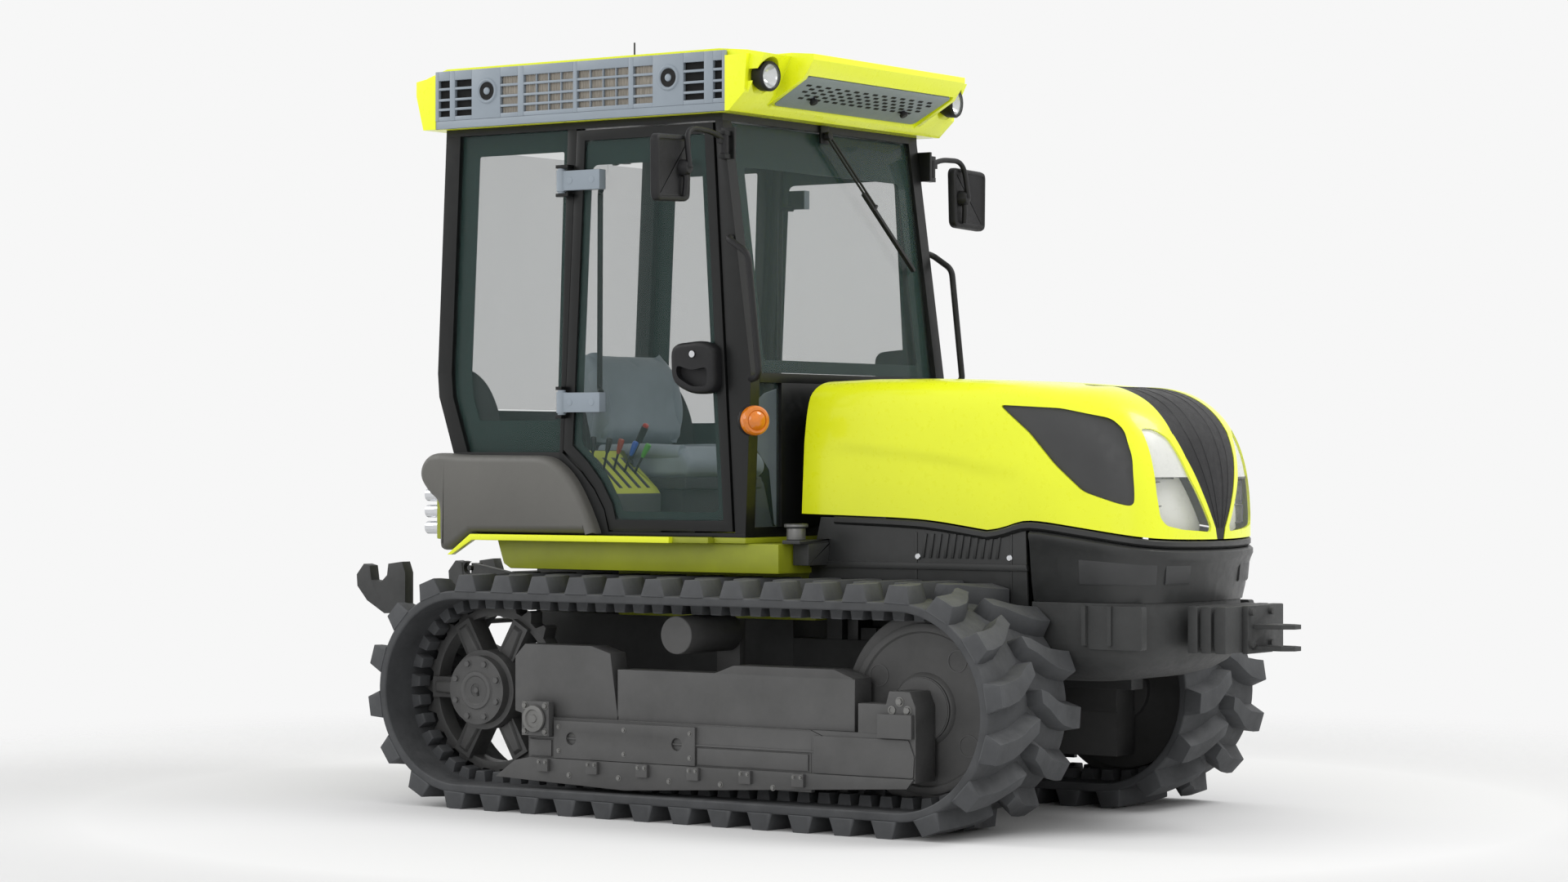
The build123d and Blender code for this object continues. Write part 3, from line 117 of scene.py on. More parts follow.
def finish_mat(name, color, rough, metallic=0.0, coat=0.0, coat_rough=0.1, grain=0.0, grain_scale=900.0,
               vary=0.12, patch=5.0, dust=0.0, dust_color=(0.20, 0.19, 0.17), wear=0.0, stretch=None, alpha=1.0,
               specular=0.5, sheen=0.0):
    """Procedural finish: patchy colour, uneven gloss, dust on upward faces, worn edges, fine grain."""
    mat, tree, shader, coords = new_tree(name)
    base = noise_tex(tree, coords, patch, 5.0, stretch=stretch)
    col = ramp(tree, base, [(0.3, tint(color, 1 - vary)), (0.7, tint(color, 1 + vary))])
    if dust:
        geo = tree.nodes.new("ShaderNodeNewGeometry")
        split = tree.nodes.new("ShaderNodeSeparateXYZ")
        tree.links.new(geo.outputs["Normal"], split.inputs[0])
        up = remap(tree, split.outputs["Z"], 0.25 * dust, dust)
        blot = remap(tree, noise_tex(tree, coords, 14.0, 6.0, 0.7), 0.1, 1.0)
        both_fac = tree.nodes.new("ShaderNodeMath")
        both_fac.operation = "MULTIPLY"
        both_fac.use_clamp = True
        tree.links.new(up, both_fac.inputs[0])
        tree.links.new(blot, both_fac.inputs[1])
        col = mix_color(tree, both_fac.outputs[0], col, dust_color)
    if wear:
        geo = tree.nodes.new("ShaderNodeNewGeometry")
        edge = tree.nodes.new("ShaderNodeMapRange")
        edge.inputs["From Min"].default_value = 0.52
        edge.inputs["From Max"].default_value = 0.60
        edge.inputs["To Max"].default_value = wear
        tree.links.new(geo.outputs["Pointiness"], edge.inputs["Value"])
        col = mix_color(tree, edge.outputs["Result"], col, tint(color, 2.2))
    tree.links.new(col, shader.inputs["Base Color"])
    fine = noise_tex(tree, coords, 40.0, 6.0, 0.65)
    tree.links.new(remap(tree, fine, max(0.02, rough - 0.07), min(1.0, rough + 0.09)), shader.inputs["Roughness"])
    shader.inputs["Metallic"].default_value = metallic
    shader.inputs["Coat Weight"].default_value = coat
    shader.inputs["Coat Roughness"].default_value = coat_rough
    shader.inputs["Specular IOR Level"].default_value = specular
    shader.inputs["Sheen Weight"].default_value = sheen
    shader.inputs["Alpha"].default_value = alpha
    if grain:
        bump = tree.nodes.new("ShaderNodeBump")
        bump.inputs["Strength"].default_value = grain
        bump.inputs["Distance"].default_value = 0.0006
        tree.links.new(noise_tex(tree, coords, grain_scale, 3.0), bump.inputs["Height"])
        tree.links.new(bump.outputs["Normal"], shader.inputs["Normal"])
    return mat


LIME = (0.83, 0.90, 0.012)
MAT = {
    "lime": finish_mat("lime_enamel", LIME, 0.30, coat=0.35, coat_rough=0.08, vary=0.03, patch=1.5, grain=0.05,
                       grain_scale=260.0, specular=0.45),
    # tub enamel darkened far below the lime: painted shade from the overhang above the tub; its dust settings lay
    # darker grey-olive patches on upward faces
    "tub": finish_mat("tub_enamel_painted_shade", (0.33, 0.37, 0.010), 0.42, coat=0.1, vary=0.16, patch=3.0, dust=0.5,
                      dust_color=(0.08, 0.09, 0.03), grain=0.1),
    "moss": finish_mat("console_moulding", (0.60, 0.68, 0.06), 0.5, vary=0.06, grain=0.3, grain_scale=1500.0),
    "lamp_bowl": finish_mat("lamp_bowl", (0.20, 0.20, 0.19), 0.3, metallic=0.4, vary=0.1),
    "charcoal": finish_mat("charcoal_moulding", (0.030, 0.031, 0.032), 0.44, vary=0.14, grain=0.35, grain_scale=1400.0,
                           dust=0.35, dust_color=(0.075, 0.075, 0.072), wear=0.12),
    "nose": finish_mat("nose_moulding", (0.019, 0.020, 0.020), 0.36, vary=0.25, patch=4.0, grain=0.3,
                       grain_scale=1200.0, dust=0.25, dust_color=(0.055, 0.055, 0.053)),
    "casting": finish_mat("sandy_casting", (0.026, 0.027, 0.027), 0.58, vary=0.25, patch=8.0, grain=0.8,
                          grain_scale=600.0, dust=0.4, dust_color=(0.075, 0.075, 0.073), wear=0.3),
    "frame": finish_mat("frame_paint", (0.052, 0.052, 0.052), 0.5, vary=0.2, patch=6.0, grain=0.5, grain_scale=700.0,
                        dust=0.7, dust_color=(0.105, 0.104, 0.10), wear=0.35),
    "belt": finish_mat("belt_rubber", (0.050, 0.052, 0.055), 0.72, vary=0.2, patch=9.0, grain=0.9, grain_scale=420.0,
                       dust=0.55, dust_color=(0.125, 0.127, 0.13), wear=0.45, specular=0.3),
    "black": finish_mat("black_frame_paint", (0.0055, 0.006, 0.006), 0.36, coat=0.03, vary=0.15, grain=0.15,
                        specular=0.3),
    "black_plastic": finish_mat("black_plastic", (0.009, 0.009, 0.010), 0.48, vary=0.15, grain=0.5, grain_scale=1800.0,
                                specular=0.3),
    "fender": finish_mat("fender_moulding", (0.100, 0.098, 0.089), 0.5, vary=0.1, patch=3.0, grain=0.45,
                         grain_scale=1500.0, dust=0.25, dust_color=(0.12, 0.117, 0.11)),
    "slate": finish_mat("slate_moulding", (0.235, 0.275, 0.315), 0.42, vary=0.06, grain=0.35, grain_scale=1500.0),
    "filter": finish_mat("pleated_filter", (0.33, 0.30, 0.255), 0.85, vary=0.25, patch=30.0, grain=0.6,
                         stretch=(12.0, 1.0, 0.6)),
    # near-black sheet material: painted shade of the openings behind the roof grilles, the recesses round the grille
    # hubs and the visor slots
    "void": finish_mat("shadow_backing", (0.006, 0.006, 0.006), 0.9, vary=0.2, grain=0.3),
    "seat": finish_mat("seat_vinyl", (0.30, 0.36, 0.40), 0.52, vary=0.07, patch=12.0, grain=0.7,
                       grain_scale=520.0, sheen=0.15),
    "seat_shell": finish_mat("seat_shell", (0.035, 0.037, 0.04), 0.5, vary=0.1, grain=0.4),
    "trim": finish_mat("cab_trim", (0.085, 0.095, 0.10), 0.6, vary=0.1, grain=0.5, grain_scale=1300.0),
    "steel": finish_mat("polished_steel", (0.62, 0.63, 0.65), 0.2, metallic=1.0, vary=0.08, grain=0.08),
    "zinc": finish_mat("zinc_bolt", (0.19, 0.19, 0.185), 0.42, metallic=0.7, vary=0.2, grain=0.3, dust=0.3),
    "reflector": finish_mat("lamp_reflector", (0.72, 0.73, 0.74), 0.14, metallic=0.55, vary=0.04),
    "reflector_white": finish_mat("lamp_bezel", (0.74, 0.74, 0.69), 0.3, vary=0.05),
    "amber": finish_mat("amber_lens", (0.62, 0.17, 0.006), 0.14, coat=0.4, vary=0.12, patch=60.0),
    "red": finish_mat("red_button", (0.55, 0.03, 0.015), 0.3, coat=0.3, vary=0.08),
    "mirror": finish_mat("mirror_face", (0.75, 0.77, 0.78), 0.04, metallic=1.0, vary=0.02),
    "glass": finish_mat("tinted_glass", (0.055, 0.085, 0.08), 0.02, vary=0.04, patch=2.0, alpha=0.19, specular=0.35),
    "band": finish_mat("glass_band", (0.010, 0.027, 0.023), 0.10, vary=0.05, patch=2.0, specular=0.2),
    "lens": finish_mat("clear_lens", (0.62, 0.66, 0.67), 0.02, vary=0.03, alpha=0.07, specular=0.3),
}
KNOBS = {
    "knob_1": (0.02, 0.02, 0.022), "knob_2": (0.03, 0.03, 0.03), "knob_3": (0.42, 0.06, 0.025),
    "knob_4": (0.02, 0.14, 0.62), "knob_5": (0.10, 0.48, 0.06),
}
for knob_name, knob_color in KNOBS.items():
    MAT[knob_name] = finish_mat(knob_name + "_plastic", knob_color, 0.35, coat=0.2, vary=0.06)


# ---- mesh helpers --------------------------------------------------------------------------
def sharpen(bm, angle=35.0):
    """Smooth faces, with edges sharper than the angle kept crisp."""
    limit = math.radians(angle)
    for face in bm.faces:
        face.smooth = True
    for edge in bm.edges:
        if len(edge.link_faces) == 2:
            edge.smooth = edge.calc_face_angle(0.0) < limit
        else:
            edge.smooth = False


def bevel_edges(bm, width, segments, angle=32.0):
    limit = math.radians(angle)
    edges = [e for e in bm.edges if len(e.link_faces) == 2 and e.calc_face_angle(0.0) > limit]
    if edges and width:
        bmesh.ops.bevel(bm, geom=edges, offset=width * MM, offset_type="OFFSET", segments=segments,
                        affect="EDGES", profile=0.6, clamp_overlap=True)


def add_piece(name, bm, body, mats, smooth=35.0, replaces=(), normals=True, bevel=None):
    """Turns a bmesh in metres into a named piece that rides on a body; bevel is (width, segments, angle)."""
    if bevel:
        bmesh.ops.recalc_face_normals(bm, faces=bm.faces)
        bevel_edges(bm, *bevel)
    if normals:
        bmesh.ops.recalc_face_normals(bm, faces=bm.faces)
    sharpen(bm, smooth)
    mesh = bpy.data.meshes.new(name)
    bm.to_mesh(mesh)
    bm.free()
    obj = bpy.data.objects.new(name, mesh)
    bpy.context.scene.collection.objects.link(obj)
    for mat in mats if isinstance(mats, (list, tuple)) else [mats]:
        mesh.materials.append(MAT[mat])
    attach(obj, body)
    if replaces:
        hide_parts(*replaces)
    return obj


def soften(node, mats, width=2.0, segments=2, pick=None, name=None):
    """Bevelled stand-in of a CAD node; pick(centre in mm, normal) chooses a face's material."""
    bm = bmesh.new()
    bm.from_mesh(NODES[node].data)
    bmesh.ops.remove_doubles(bm, verts=bm.verts, dist=1e-5)
    bmesh.ops.dissolve_limit(bm, angle_limit=math.radians(0.6), verts=bm.verts, edges=bm.edges)
    if pick:
        bm.normal_update()
        for face in bm.faces:
            face.material_index = pick(face.calc_center_median() / MM, face.normal)
    bevel_edges(bm, width, segments)
    return add_piece(name or node + "_visual", bm, NODE_BODY[node], mats, replaces=(node,), normals=False)


def new_ring(bm, points):
    """Mesh points, in metres, of points in millimetres."""
    return [bm.verts.new(Vector(p) * MM) for p in points]


def web(bm, a, b):
    """Quads between two closed rings."""
    for i in range(len(a)):
        j = (i + 1) % len(a)
        bm.faces.new((a[i], a[j], b[j], b[i]))


def loft(bm, rings):
    """Skin through closed rings, capped at both ends."""
    for a, b in zip(rings, rings[1:]):
        web(bm, a, b)
    bm.faces.new(rings[0])
    bm.faces.new(rings[-1])


def on_plane(a, b, c, axis):
    """Point with c along the axis and (a, b) on the plane across it."""
    return {"y": (a, c, b), "x": (c, a, b), "z": (a, b, c)}[axis]


def across(side, a, b):
    """Low and high y of a span given by its distances from the middle."""
    return sorted((side * a, side * b))


def prism(bm, points, low, high, axis="y"):
    """Extruded outline; points are (x, z) for axis y, (y, z) for x, (x, y) for z."""
    start, end = [new_ring(bm, [on_plane(a, b, c, axis) for a, b in points]) for c in (low, high)]
    bm.faces.new(start)
    bm.faces.new(end[::-1])
    for i in range(len(points)):
        j = (i + 1) % len(points)
        bm.faces.new((start[i], end[i], end[j], start[j]))


def brick(bm, x0, x1, y0, y1, z0, z1):
    prism(bm, [(x0, y0), (x1, y0), (x1, y1), (x0, y1)], z0, z1, "z")


def frame_of(direction):
    w = Vector(direction).normalized()
    helper = Vector((0, 0, 1)) if abs(w.z) < 0.9 else Vector((1, 0, 0))
    u = helper.cross(w).normalized()
    return u, w.cross(u), w


def lathe(bm, start, direction, profile, sides=32):
    """Turned form about start + t * direction from (radius, t) stations."""
    u, v, w = frame_of(direction)
    origin = Vector(start)
    rings = []
    for radius, t in profile:
        centre = origin + w * t
        if radius < 1e-6:
            rings.append([bm.verts.new(centre * MM)])
            continue
        rings.append([bm.verts.new((centre + (u * math.cos(a) + v * math.sin(a)) * radius) * MM)
                      for a in (2 * math.pi * i / sides for i in range(sides))])
    for a, b in zip(rings, rings[1:]):
        for i in range(sides):
            j = (i + 1) % sides
            corners = [a[i % len(a)], a[j % len(a)], b[j % len(b)], b[i % len(b)]]
            unique = list(dict.fromkeys(corners))
            if len(unique) > 2:
                bm.faces.new(unique)
    for ring in (rings[0], rings[-1]):
        if len(ring) > 2:
            bm.faces.new(ring)


def tube(bm, points, radius, sides=14, bend=30.0):
    """Round bar along points with rounded bends."""
    pts = [Vector(p) for p in points]
    path = [pts[0]]
    for a, b, c in zip(pts, pts[1:], pts[2:]):
        d0, d1 = (a - b).normalized(), (c - b).normalized()
        reach = min(bend, (a - b).length * 0.45, (c - b).length * 0.45)
        p, q = b + d0 * reach, b + d1 * reach
        for k in range(7):
            t = k / 6
            path.append(p * (1 - t) ** 2 + b * 2 * t * (1 - t) + q * t ** 2)
    path.append(pts[-1])
    up = frame_of(path[1] - path[0])[0]
    rings = []
    for i, p in enumerate(path):
        d = (path[min(i + 1, len(path) - 1)] - path[max(i - 1, 0)]).normalized()
        up = (up - d * up.dot(d)).normalized()
        side = d.cross(up)
        rings.append([bm.verts.new((p + (up * math.cos(a) + side * math.sin(a)) * radius) * MM)
                      for a in (2 * math.pi * k / sides for k in range(sides))])
    loft(bm, rings)


def hex_bolt(bm, start, direction, flat=11.0, height=8.0):
    """Hex head on a washer."""
    lathe(bm, start, direction, [(0, 0), (flat * 1.35, 0), (flat * 1.35, 2), (0, 2)], 20)
    lathe(bm, start, direction, [(0, 2), (flat, 2), (flat, height - 1.5), (flat * 0.86, height), (0, height)], 6)


def rounded(points, radius, steps=5):
    """Closed outline with rounded corners."""
    out = []
    pts = [Vector((p[0], p[1])) for p in points]
    n = len(pts)
    for i in range(n):
        a, b, c = pts[i - 1], pts[i], pts[(i + 1) % n]
        reach = min(radius, (a - b).length * 0.48, (c - b).length * 0.48)
        p, q = b + (a - b).normalized() * reach, b + (c - b).normalized() * reach
        for k in range(steps + 1):
            t = k / steps
            v = p * (1 - t) ** 2 + b * 2 * t * (1 - t) + q * t ** 2
            out.append((v.x, v.y))
    return out


def spline(points, per=8):
    """Open Catmull-Rom line through points."""
    pts = [Vector((p[0], p[1])) for p in points]
    pts = [pts[0] * 2 - pts[1]] + pts + [pts[-1] * 2 - pts[-2]]
    out = []
    for p0, p1, p2, p3 in zip(pts, pts[1:], pts[2:], pts[3:]):
        for k in range(per):
            t = k / per
            out.append(0.5 * (2 * p1 + (p2 - p0) * t + (2 * p0 - 5 * p1 + 4 * p2 - p3) * t * t
                              + (3 * p1 - p0 - 3 * p2 + p3) * t ** 3))
    out.append(pts[-2])
    return [(v.x, v.y) for v in out]


def inset(points, d):
    """Closed outline moved inwards by d."""
    pts = [Vector((p[0], p[1])) for p in points]
    area = sum(a.x * b.y - b.x * a.y for a, b in zip(pts, pts[1:] + pts[:1]))
    turn = 1 if area > 0 else -1
    out = []
    n = len(pts)
    for i in range(n):
        a, b, c = pts[i - 1], pts[i], pts[(i + 1) % n]
        d0, d1 = (b - a).normalized(), (c - b).normalized()
        n0, n1 = Vector((-d0.y, d0.x)) * turn, Vector((-d1.y, d1.x)) * turn
        m = n0 + n1
        k = d * 2 / max(0.3, m.length_squared)
        v = b + m * k
        out.append((v.x, v.y))
    return out


def pillow(bm, outline, levels, place):
    """Skin through insets of an outline; levels are (inset, depth), place gives the point of (a, b, depth)."""
    loft(bm, [new_ring(bm, [place(a, b, depth) for a, b in inset(outline, d)]) for d, depth in levels])


def flat_frame(bm, outer, inner, low, high, place):
    """Flat frame between two outlines of equal point count; place gives the point of (a, b, depth)."""
    loops = [new_ring(bm, [place(a, b, c) for a, b in line]) for line in (outer, inner) for c in (low, high)]
    for a, b in ((0, 1), (1, 3), (3, 2), (2, 0)):
        web(bm, loops[a], loops[b])


def interp(table, x):
    """Straight-line value of a table of (x, y) at x."""
    if x <= table[0][0]:
        return table[0][1]
    for (x0, y0), (x1, y1) in zip(table, table[1:]):
        if x <= x1:
            return y0 + (y1 - y0) * (x - x0) / (x1 - x0)
    return table[-1][1]


def ease(t):
    t = max(0.0, min(1.0, t))
    return t * t * (3 - 2 * t)


def mirrored(bm):
    """Adds the left-hand twin of everything in bm."""
    geom = bm.verts[:] + bm.edges[:] + bm.faces[:]
    copy = bmesh.ops.duplicate(bm, geom=geom)["geom"]
    verts = [g for g in copy if isinstance(g, bmesh.types.BMVert)]
    for v in verts:
        v.co.y = -v.co.y
    bmesh.ops.reverse_faces(bm, faces=[g for g in copy if isinstance(g, bmesh.types.BMFace)])


def cut(bm, cutter, operation="DIFFERENCE"):
    """Boolean of two bmeshes; both are used up."""
    objs = []
    for part in (bm, cutter):
        bmesh.ops.recalc_face_normals(part, faces=part.faces)
        mesh = bpy.data.meshes.new("scratch")
        part.to_mesh(mesh)
        part.free()
        obj = bpy.data.objects.new("scratch", mesh)
        bpy.context.scene.collection.objects.link(obj)
        objs.append(obj)
    mod = objs[0].modifiers.new("cut", "BOOLEAN")
    mod.operation = operation
    mod.solver = "EXACT"
    mod.object = objs[1]
    bpy.context.view_layer.update()
    result = bpy.data.meshes.new_from_object(objs[0].evaluated_get(bpy.context.evaluated_depsgraph_get()))
    out = bmesh.new()
    out.from_mesh(result)
    for obj in objs:
        bpy.data.objects.remove(obj)
    bpy.data.meshes.remove(result)
    return out


# ---- camera, light, floor ------------------------------------------------------------------
AZIMUTH, PITCH = math.radians(34.784), math.radians(-0.261)
back = Vector((math.sin(AZIMUTH) * math.cos(PITCH), -math.cos(AZIMUTH) * math.cos(PITCH), math.sin(PITCH)))
right = Vector((math.cos(AZIMUTH), math.sin(AZIMUTH), 0))
up = back.cross(right)
cam_data = bpy.data.cameras.new("camera")
cam_data.lens = 84.35
cam_data.sensor_width = 36.0
cam_data.clip_end = 200.0
camera = bpy.data.objects.new("camera", cam_data)
camera.matrix_world = Matrix((right, up, back)).transposed().to_4x4()
camera.location = (6.8368, -10.0263, 1.1400)
bpy.context.scene.collection.objects.link(camera)
bpy.context.scene.camera = camera

scene = bpy.context.scene
scene.view_settings.view_transform = "Standard"
world = bpy.data.worlds.new("studio")
world.use_nodes = True
world.node_tree.nodes["Background"].inputs["Color"].default_value = (0.93, 0.93, 0.93, 1)
world.node_tree.nodes["Background"].inputs["Strength"].default_value = 1.0
scene.world = world


def area_light(name, place, target, size, power):
    data = bpy.data.lights.new(name, "AREA")
    data.shape = "DISK"
    data.size = size
    data.energy = power
    obj = bpy.data.objects.new(name, data)
    obj.location = place
    obj.rotation_euler = (Vector(target) - Vector(place)).to_track_quat("-Z", "Y").to_euler()
    bpy.context.scene.collection.objects.link(obj)


area_light("key", (5.5, 2.5, 7.5), (0.3, 0, 1.0), 4.0, 300)
area_light("fill", (2.0, -9.0, 4.0), (0, 0, 1.0), 5.0, 130)
area_light("rim", (-6.0, -3.0, 5.0), (0, 0, 1.2), 3.0, 120)

floor_mesh = bpy.data.meshes.new("floor")
floor_bm = bmesh.new()
prism(floor_bm, [(-6000, -6000), (6000, -6000), (6000, 6000), (-6000, 6000)], -20, 0, "z")
floor_bm.to_mesh(floor_mesh)
floor_bm.free()
floor_mat, floor_tree, floor_shader, floor_coords = new_tree("pale_floor")
floor_shader.inputs["Roughness"].default_value = 0.9
floor_shader.inputs["Specular IOR Level"].default_value = 0.0
floor_shader.inputs["Base Color"].default_value = (0.745, 0.745, 0.745, 1)
floor_reach = floor_tree.nodes.new("ShaderNodeVectorMath")
floor_reach.operation = "LENGTH"
floor_tree.links.new(floor_coords, floor_reach.inputs[0])
floor_fade = floor_tree.nodes.new("ShaderNodeMapRange")
floor_fade.inputs["From Min"].default_value = 2.4
floor_fade.inputs["From Max"].default_value = 5.0
floor_fade.inputs["To Min"].default_value = 1.0
floor_fade.inputs["To Max"].default_value = 0.0
floor_tree.links.new(floor_reach.outputs["Value"], floor_fade.inputs["Value"])
floor_tree.links.new(floor_fade.outputs["Result"], floor_shader.inputs["Alpha"])
floor_mesh.materials.append(floor_mat)
floor = bpy.data.objects.new("floor", floor_mesh)
scene.collection.objects.link(floor)


# ---- tracks --------------------------------------------------------------------------------
BELT_R, WHEELBASE = 328.0, 1696.0
WHEEL_Z, SPROCKET_X, IDLER_X, TRACK_Y = 380.0, -844.0, 852.0, 607.0
FRAME_FACE = 193.0   # side face of the track frame, out from the belt's middle
ROLLER_COUNT, ROLLER_FIRST_X, ROLLER_PITCH = 6, -497.0, 198.0
ARC = math.pi * BELT_R
LOOP = 2 * WHEELBASE + 2 * ARC


def loop_point(s, height):
    """Place on the belt loop, height out from its outer surface."""
    s %= LOOP
    r = BELT_R + height
    if s < WHEELBASE:
        return Vector((IDLER_X - s, 0, WHEEL_Z - r))
    if s < WHEELBASE + ARC:
        a = -math.pi / 2 - (s - WHEELBASE) / BELT_R
        return Vector((SPROCKET_X + r * math.cos(a), 0, WHEEL_Z + r * math.sin(a)))
    if s < 2 * WHEELBASE + ARC:
        return Vector((SPROCKET_X + s - WHEELBASE - ARC, 0, WHEEL_Z + r))
    a = math.pi / 2 - (s - 2 * WHEELBASE - ARC) / BELT_R
    return Vector((IDLER_X + r * math.cos(a), 0, WHEEL_Z + r * math.sin(a)))


BELT_SLICES, LUG_COUNT, DRIVE_LUG_COUNT = 216, 36, 72
BELT_SECTION = [(-230, -24), (-226, -28), (226, -28), (230, -24), (230, -4), (226, 0), (-226, 0), (-230, -4)]
LUG_STATIONS = [  # distance from the middle, forward shift, crest, foot, height
    (232, 0, 52, 88, 0), (226, 0, 56, 92, 52), (188, 2, 58, 94, 52), (128, 12, 54, 90, 52),
    (96, 24, 50, 84, 52), (44, 52, 44, 76, 52), (8, 66, 36, 66, 50), (-2, 70, 30, 60, 0),
]


def lug(bm, stations):
    """Lug skin through stations of (y, [(place along the loop, height)])."""
    loft(bm, [new_ring(bm, [loop_point(along, h) + Vector((0, y, 0)) for along, h in line]) for y, line in stations])


def belt(label, side):
    centre = side * TRACK_Y
    bm = bmesh.new()
    rings = [new_ring(bm, [loop_point(LOOP * i / BELT_SLICES, h) + Vector((0, centre + y, 0)) for y, h in BELT_SECTION])
             for i in range(BELT_SLICES)]
    for a, b in zip(rings, rings[1:] + rings[:1]):
        web(bm, a, b)
    for i in range(LUG_COUNT):
        for row, phase in ((-1, 0.25), (1, 0.75)):
            mid = (i + (phase if side < 0 else 1 - phase)) * LOOP / LUG_COUNT
            stations = []
            for y, shift, crest, foot, height in LUG_STATIONS:
                h = max(height, 2)
                line = ((-foot / 2, -2), (-crest / 2, h), (crest / 2, h), (foot / 2, -2))
                stations.append((centre + row * y, [(mid - shift + ds, hh) for ds, hh in line]))
            lug(bm, stations)
    for i in range(DRIVE_LUG_COUNT):
        for row in (-1, 1):
            mid = (i + 0.5) * LOOP / DRIVE_LUG_COUNT
            stations = []
            for y, grow in ((41, -1), (44, 0), (96, 0), (99, -1)):
                line = ((-25, -26), (-20 - grow, -62 - grow * 3), (20 + grow, -62 - grow * 3), (25, -26))
                stations.append((centre + row * y, [(mid + ds, hh) for ds, hh in line]))
            lug(bm, stations)
    add_piece(label + "_belt_rubber", bm, "chassis", "belt", smooth=38.0,
              replaces=(label + "_track_belt",), bevel=(4.0, 2, 40.0))


def sprocket_details(label, side):
    body = label + "_sprocket"
    out = Vector((0, side, 0))
    face = side * (TRACK_Y + 50)
    bm = bmesh.new()
    for i in range(6):
        a = math.pi / 3 * i
        d = Vector((math.cos(a), 0, math.sin(a)))
        t = Vector((-math.sin(a), 0, math.cos(a)))
        base = Vector((SPROCKET_X, face, WHEEL_Z))
        low = [base + d * r + t * w for r, w in ((128, -27), (236, -20), (236, 20), (128, 27))]
        high = [base + out * 11 + d * r + t * w for r, w in ((134, -19), (226, -12), (226, 12), (134, 19))]
        loft(bm, [new_ring(bm, line) for line in (low, high)])
    add_piece(body + "_spoke_pads", bm, body, "frame", bevel=(3.0, 2))
    bm = bmesh.new()
    cap = side * (TRACK_Y + 125)
    for i in range(8):
        a = math.pi / 8 + math.pi / 4 * i
        hex_bolt(bm, (SPROCKET_X + 92 * math.cos(a), cap - side * 1, WHEEL_Z + 92 * math.sin(a)), out, 11, 10)
    lathe(bm, (SPROCKET_X, cap, WHEEL_Z), out,
          [(0, 0), (64, 0), (60, 5), (48, 5), (44, 2), (22, 2), (20, -1), (10, -1), (9, 3), (0, 4)], 40)
    add_piece(body + "_hub_bolts", bm, body, "frame")


def idler_details(label, side):
    body = label + "_idler"
    out = Vector((0, side, 0))
    bm = bmesh.new()
    lathe(bm, (IDLER_X, side * (TRACK_Y + 57), WHEEL_Z), out,
          [(258, 0), (258, 4), (250, 8), (236, 8), (230, 3), (112, 2), (104, 12), (100, 14), (96, 24), (40, 24),
           (40, 0)], 96)
    lathe(bm, (IDLER_X, side * (TRACK_Y + 34), WHEEL_Z), out, [(262, 0), (294, 0), (294, 6), (286, 10), (262, 10)], 96)
    for a in (0.9, 2.6, 4.4, 5.7):
        x, z = IDLER_X + 190 * math.cos(a), WHEEL_Z + 190 * math.sin(a)
        lathe(bm, (x, side * (TRACK_Y + 59), z), out, [(31, 0), (34, 0), (34, 2.5), (31, 2.5), (31, 0)], 32)
    add_piece(body + "_dished_faces", bm, body, "frame")


def track_frame_details(label, side):
    out = Vector((0, side, 0))
    bm = bmesh.new()
    face = TRACK_Y + FRAME_FACE
    for x, z in ((-564, 265), (-482, 265), (-564, 347), (-482, 347)):
        hex_bolt(bm, (x, side * (face + 26), z), out, 9, 8)
    lathe(bm, (-523, side * (face + 33), 306), out,
          [(0, 0), (44, 0), (42, 6), (30, 8), (27, 3), (14, 3), (12, 6), (0, 6)], 36)
    for i in range(ROLLER_COUNT):
        x = ROLLER_FIRST_X + ROLLER_PITCH * i
        for dx in (-13, 13):
            hex_bolt(bm, (x + dx, side * (face + 23), 168), out, 5.5, 6)
        if i < ROLLER_COUNT - 1:
            hex_bolt(bm, (x + ROLLER_PITCH / 2, side * (face + 9), 130), out, 7, 6)
    for x, z in ((-440, 206), (-440, 282), (78, 206), (78, 282), (-180, 206), (-180, 282)):
        hex_bolt(bm, (x, side * (face + 9), z), out, 6, 5)
    for x, z in ((850, 410), (878, 384)):
        hex_bolt(bm, (x, side * face, z), out, 11, 9)
    lathe(bm, (822, side * face, 384), out, [(0, 0.5), (9, 0.5), (9, 3), (13, 3), (13, 0), (0, 0)], 24)
    add_piece(label + "_frame_bolts", bm, "chassis", "zinc")
    bm = bmesh.new()
    brick(bm, 780, 902, *across(side, face, face + 18), 300, 372)
    prism(bm, rounded([(540, 182), (900, 182), (904, 246), (884, 296), (540, 296)], 6, 2),
          *across(side, face, face + 6))
    for x0, x1 in ((-560, -474), (102, 520)):
        brick(bm, x0, x1, *across(side, face, face + 5), 186, 238)
    brick(bm, -569, 905, *across(side, face, face + 4), 243, 249)
    add_piece(label + "_frame_plates", bm, "chassis", "frame", bevel=(2.0, 2))


for track_label, track_side in SIDES:
    for build in (belt, sprocket_details, idler_details, track_frame_details):
        build(track_label, track_side)
    soften(track_label + "_sprocket", "frame", 2.5)
    soften(track_label + "_idler", "frame", 3.0)
    soften(track_label + "_track_frame", "frame", 4.0)
    soften(track_label + "_carrier_roller", "frame", 6.0, 3)
soften("bottom_rollers", "frame", 4.0)

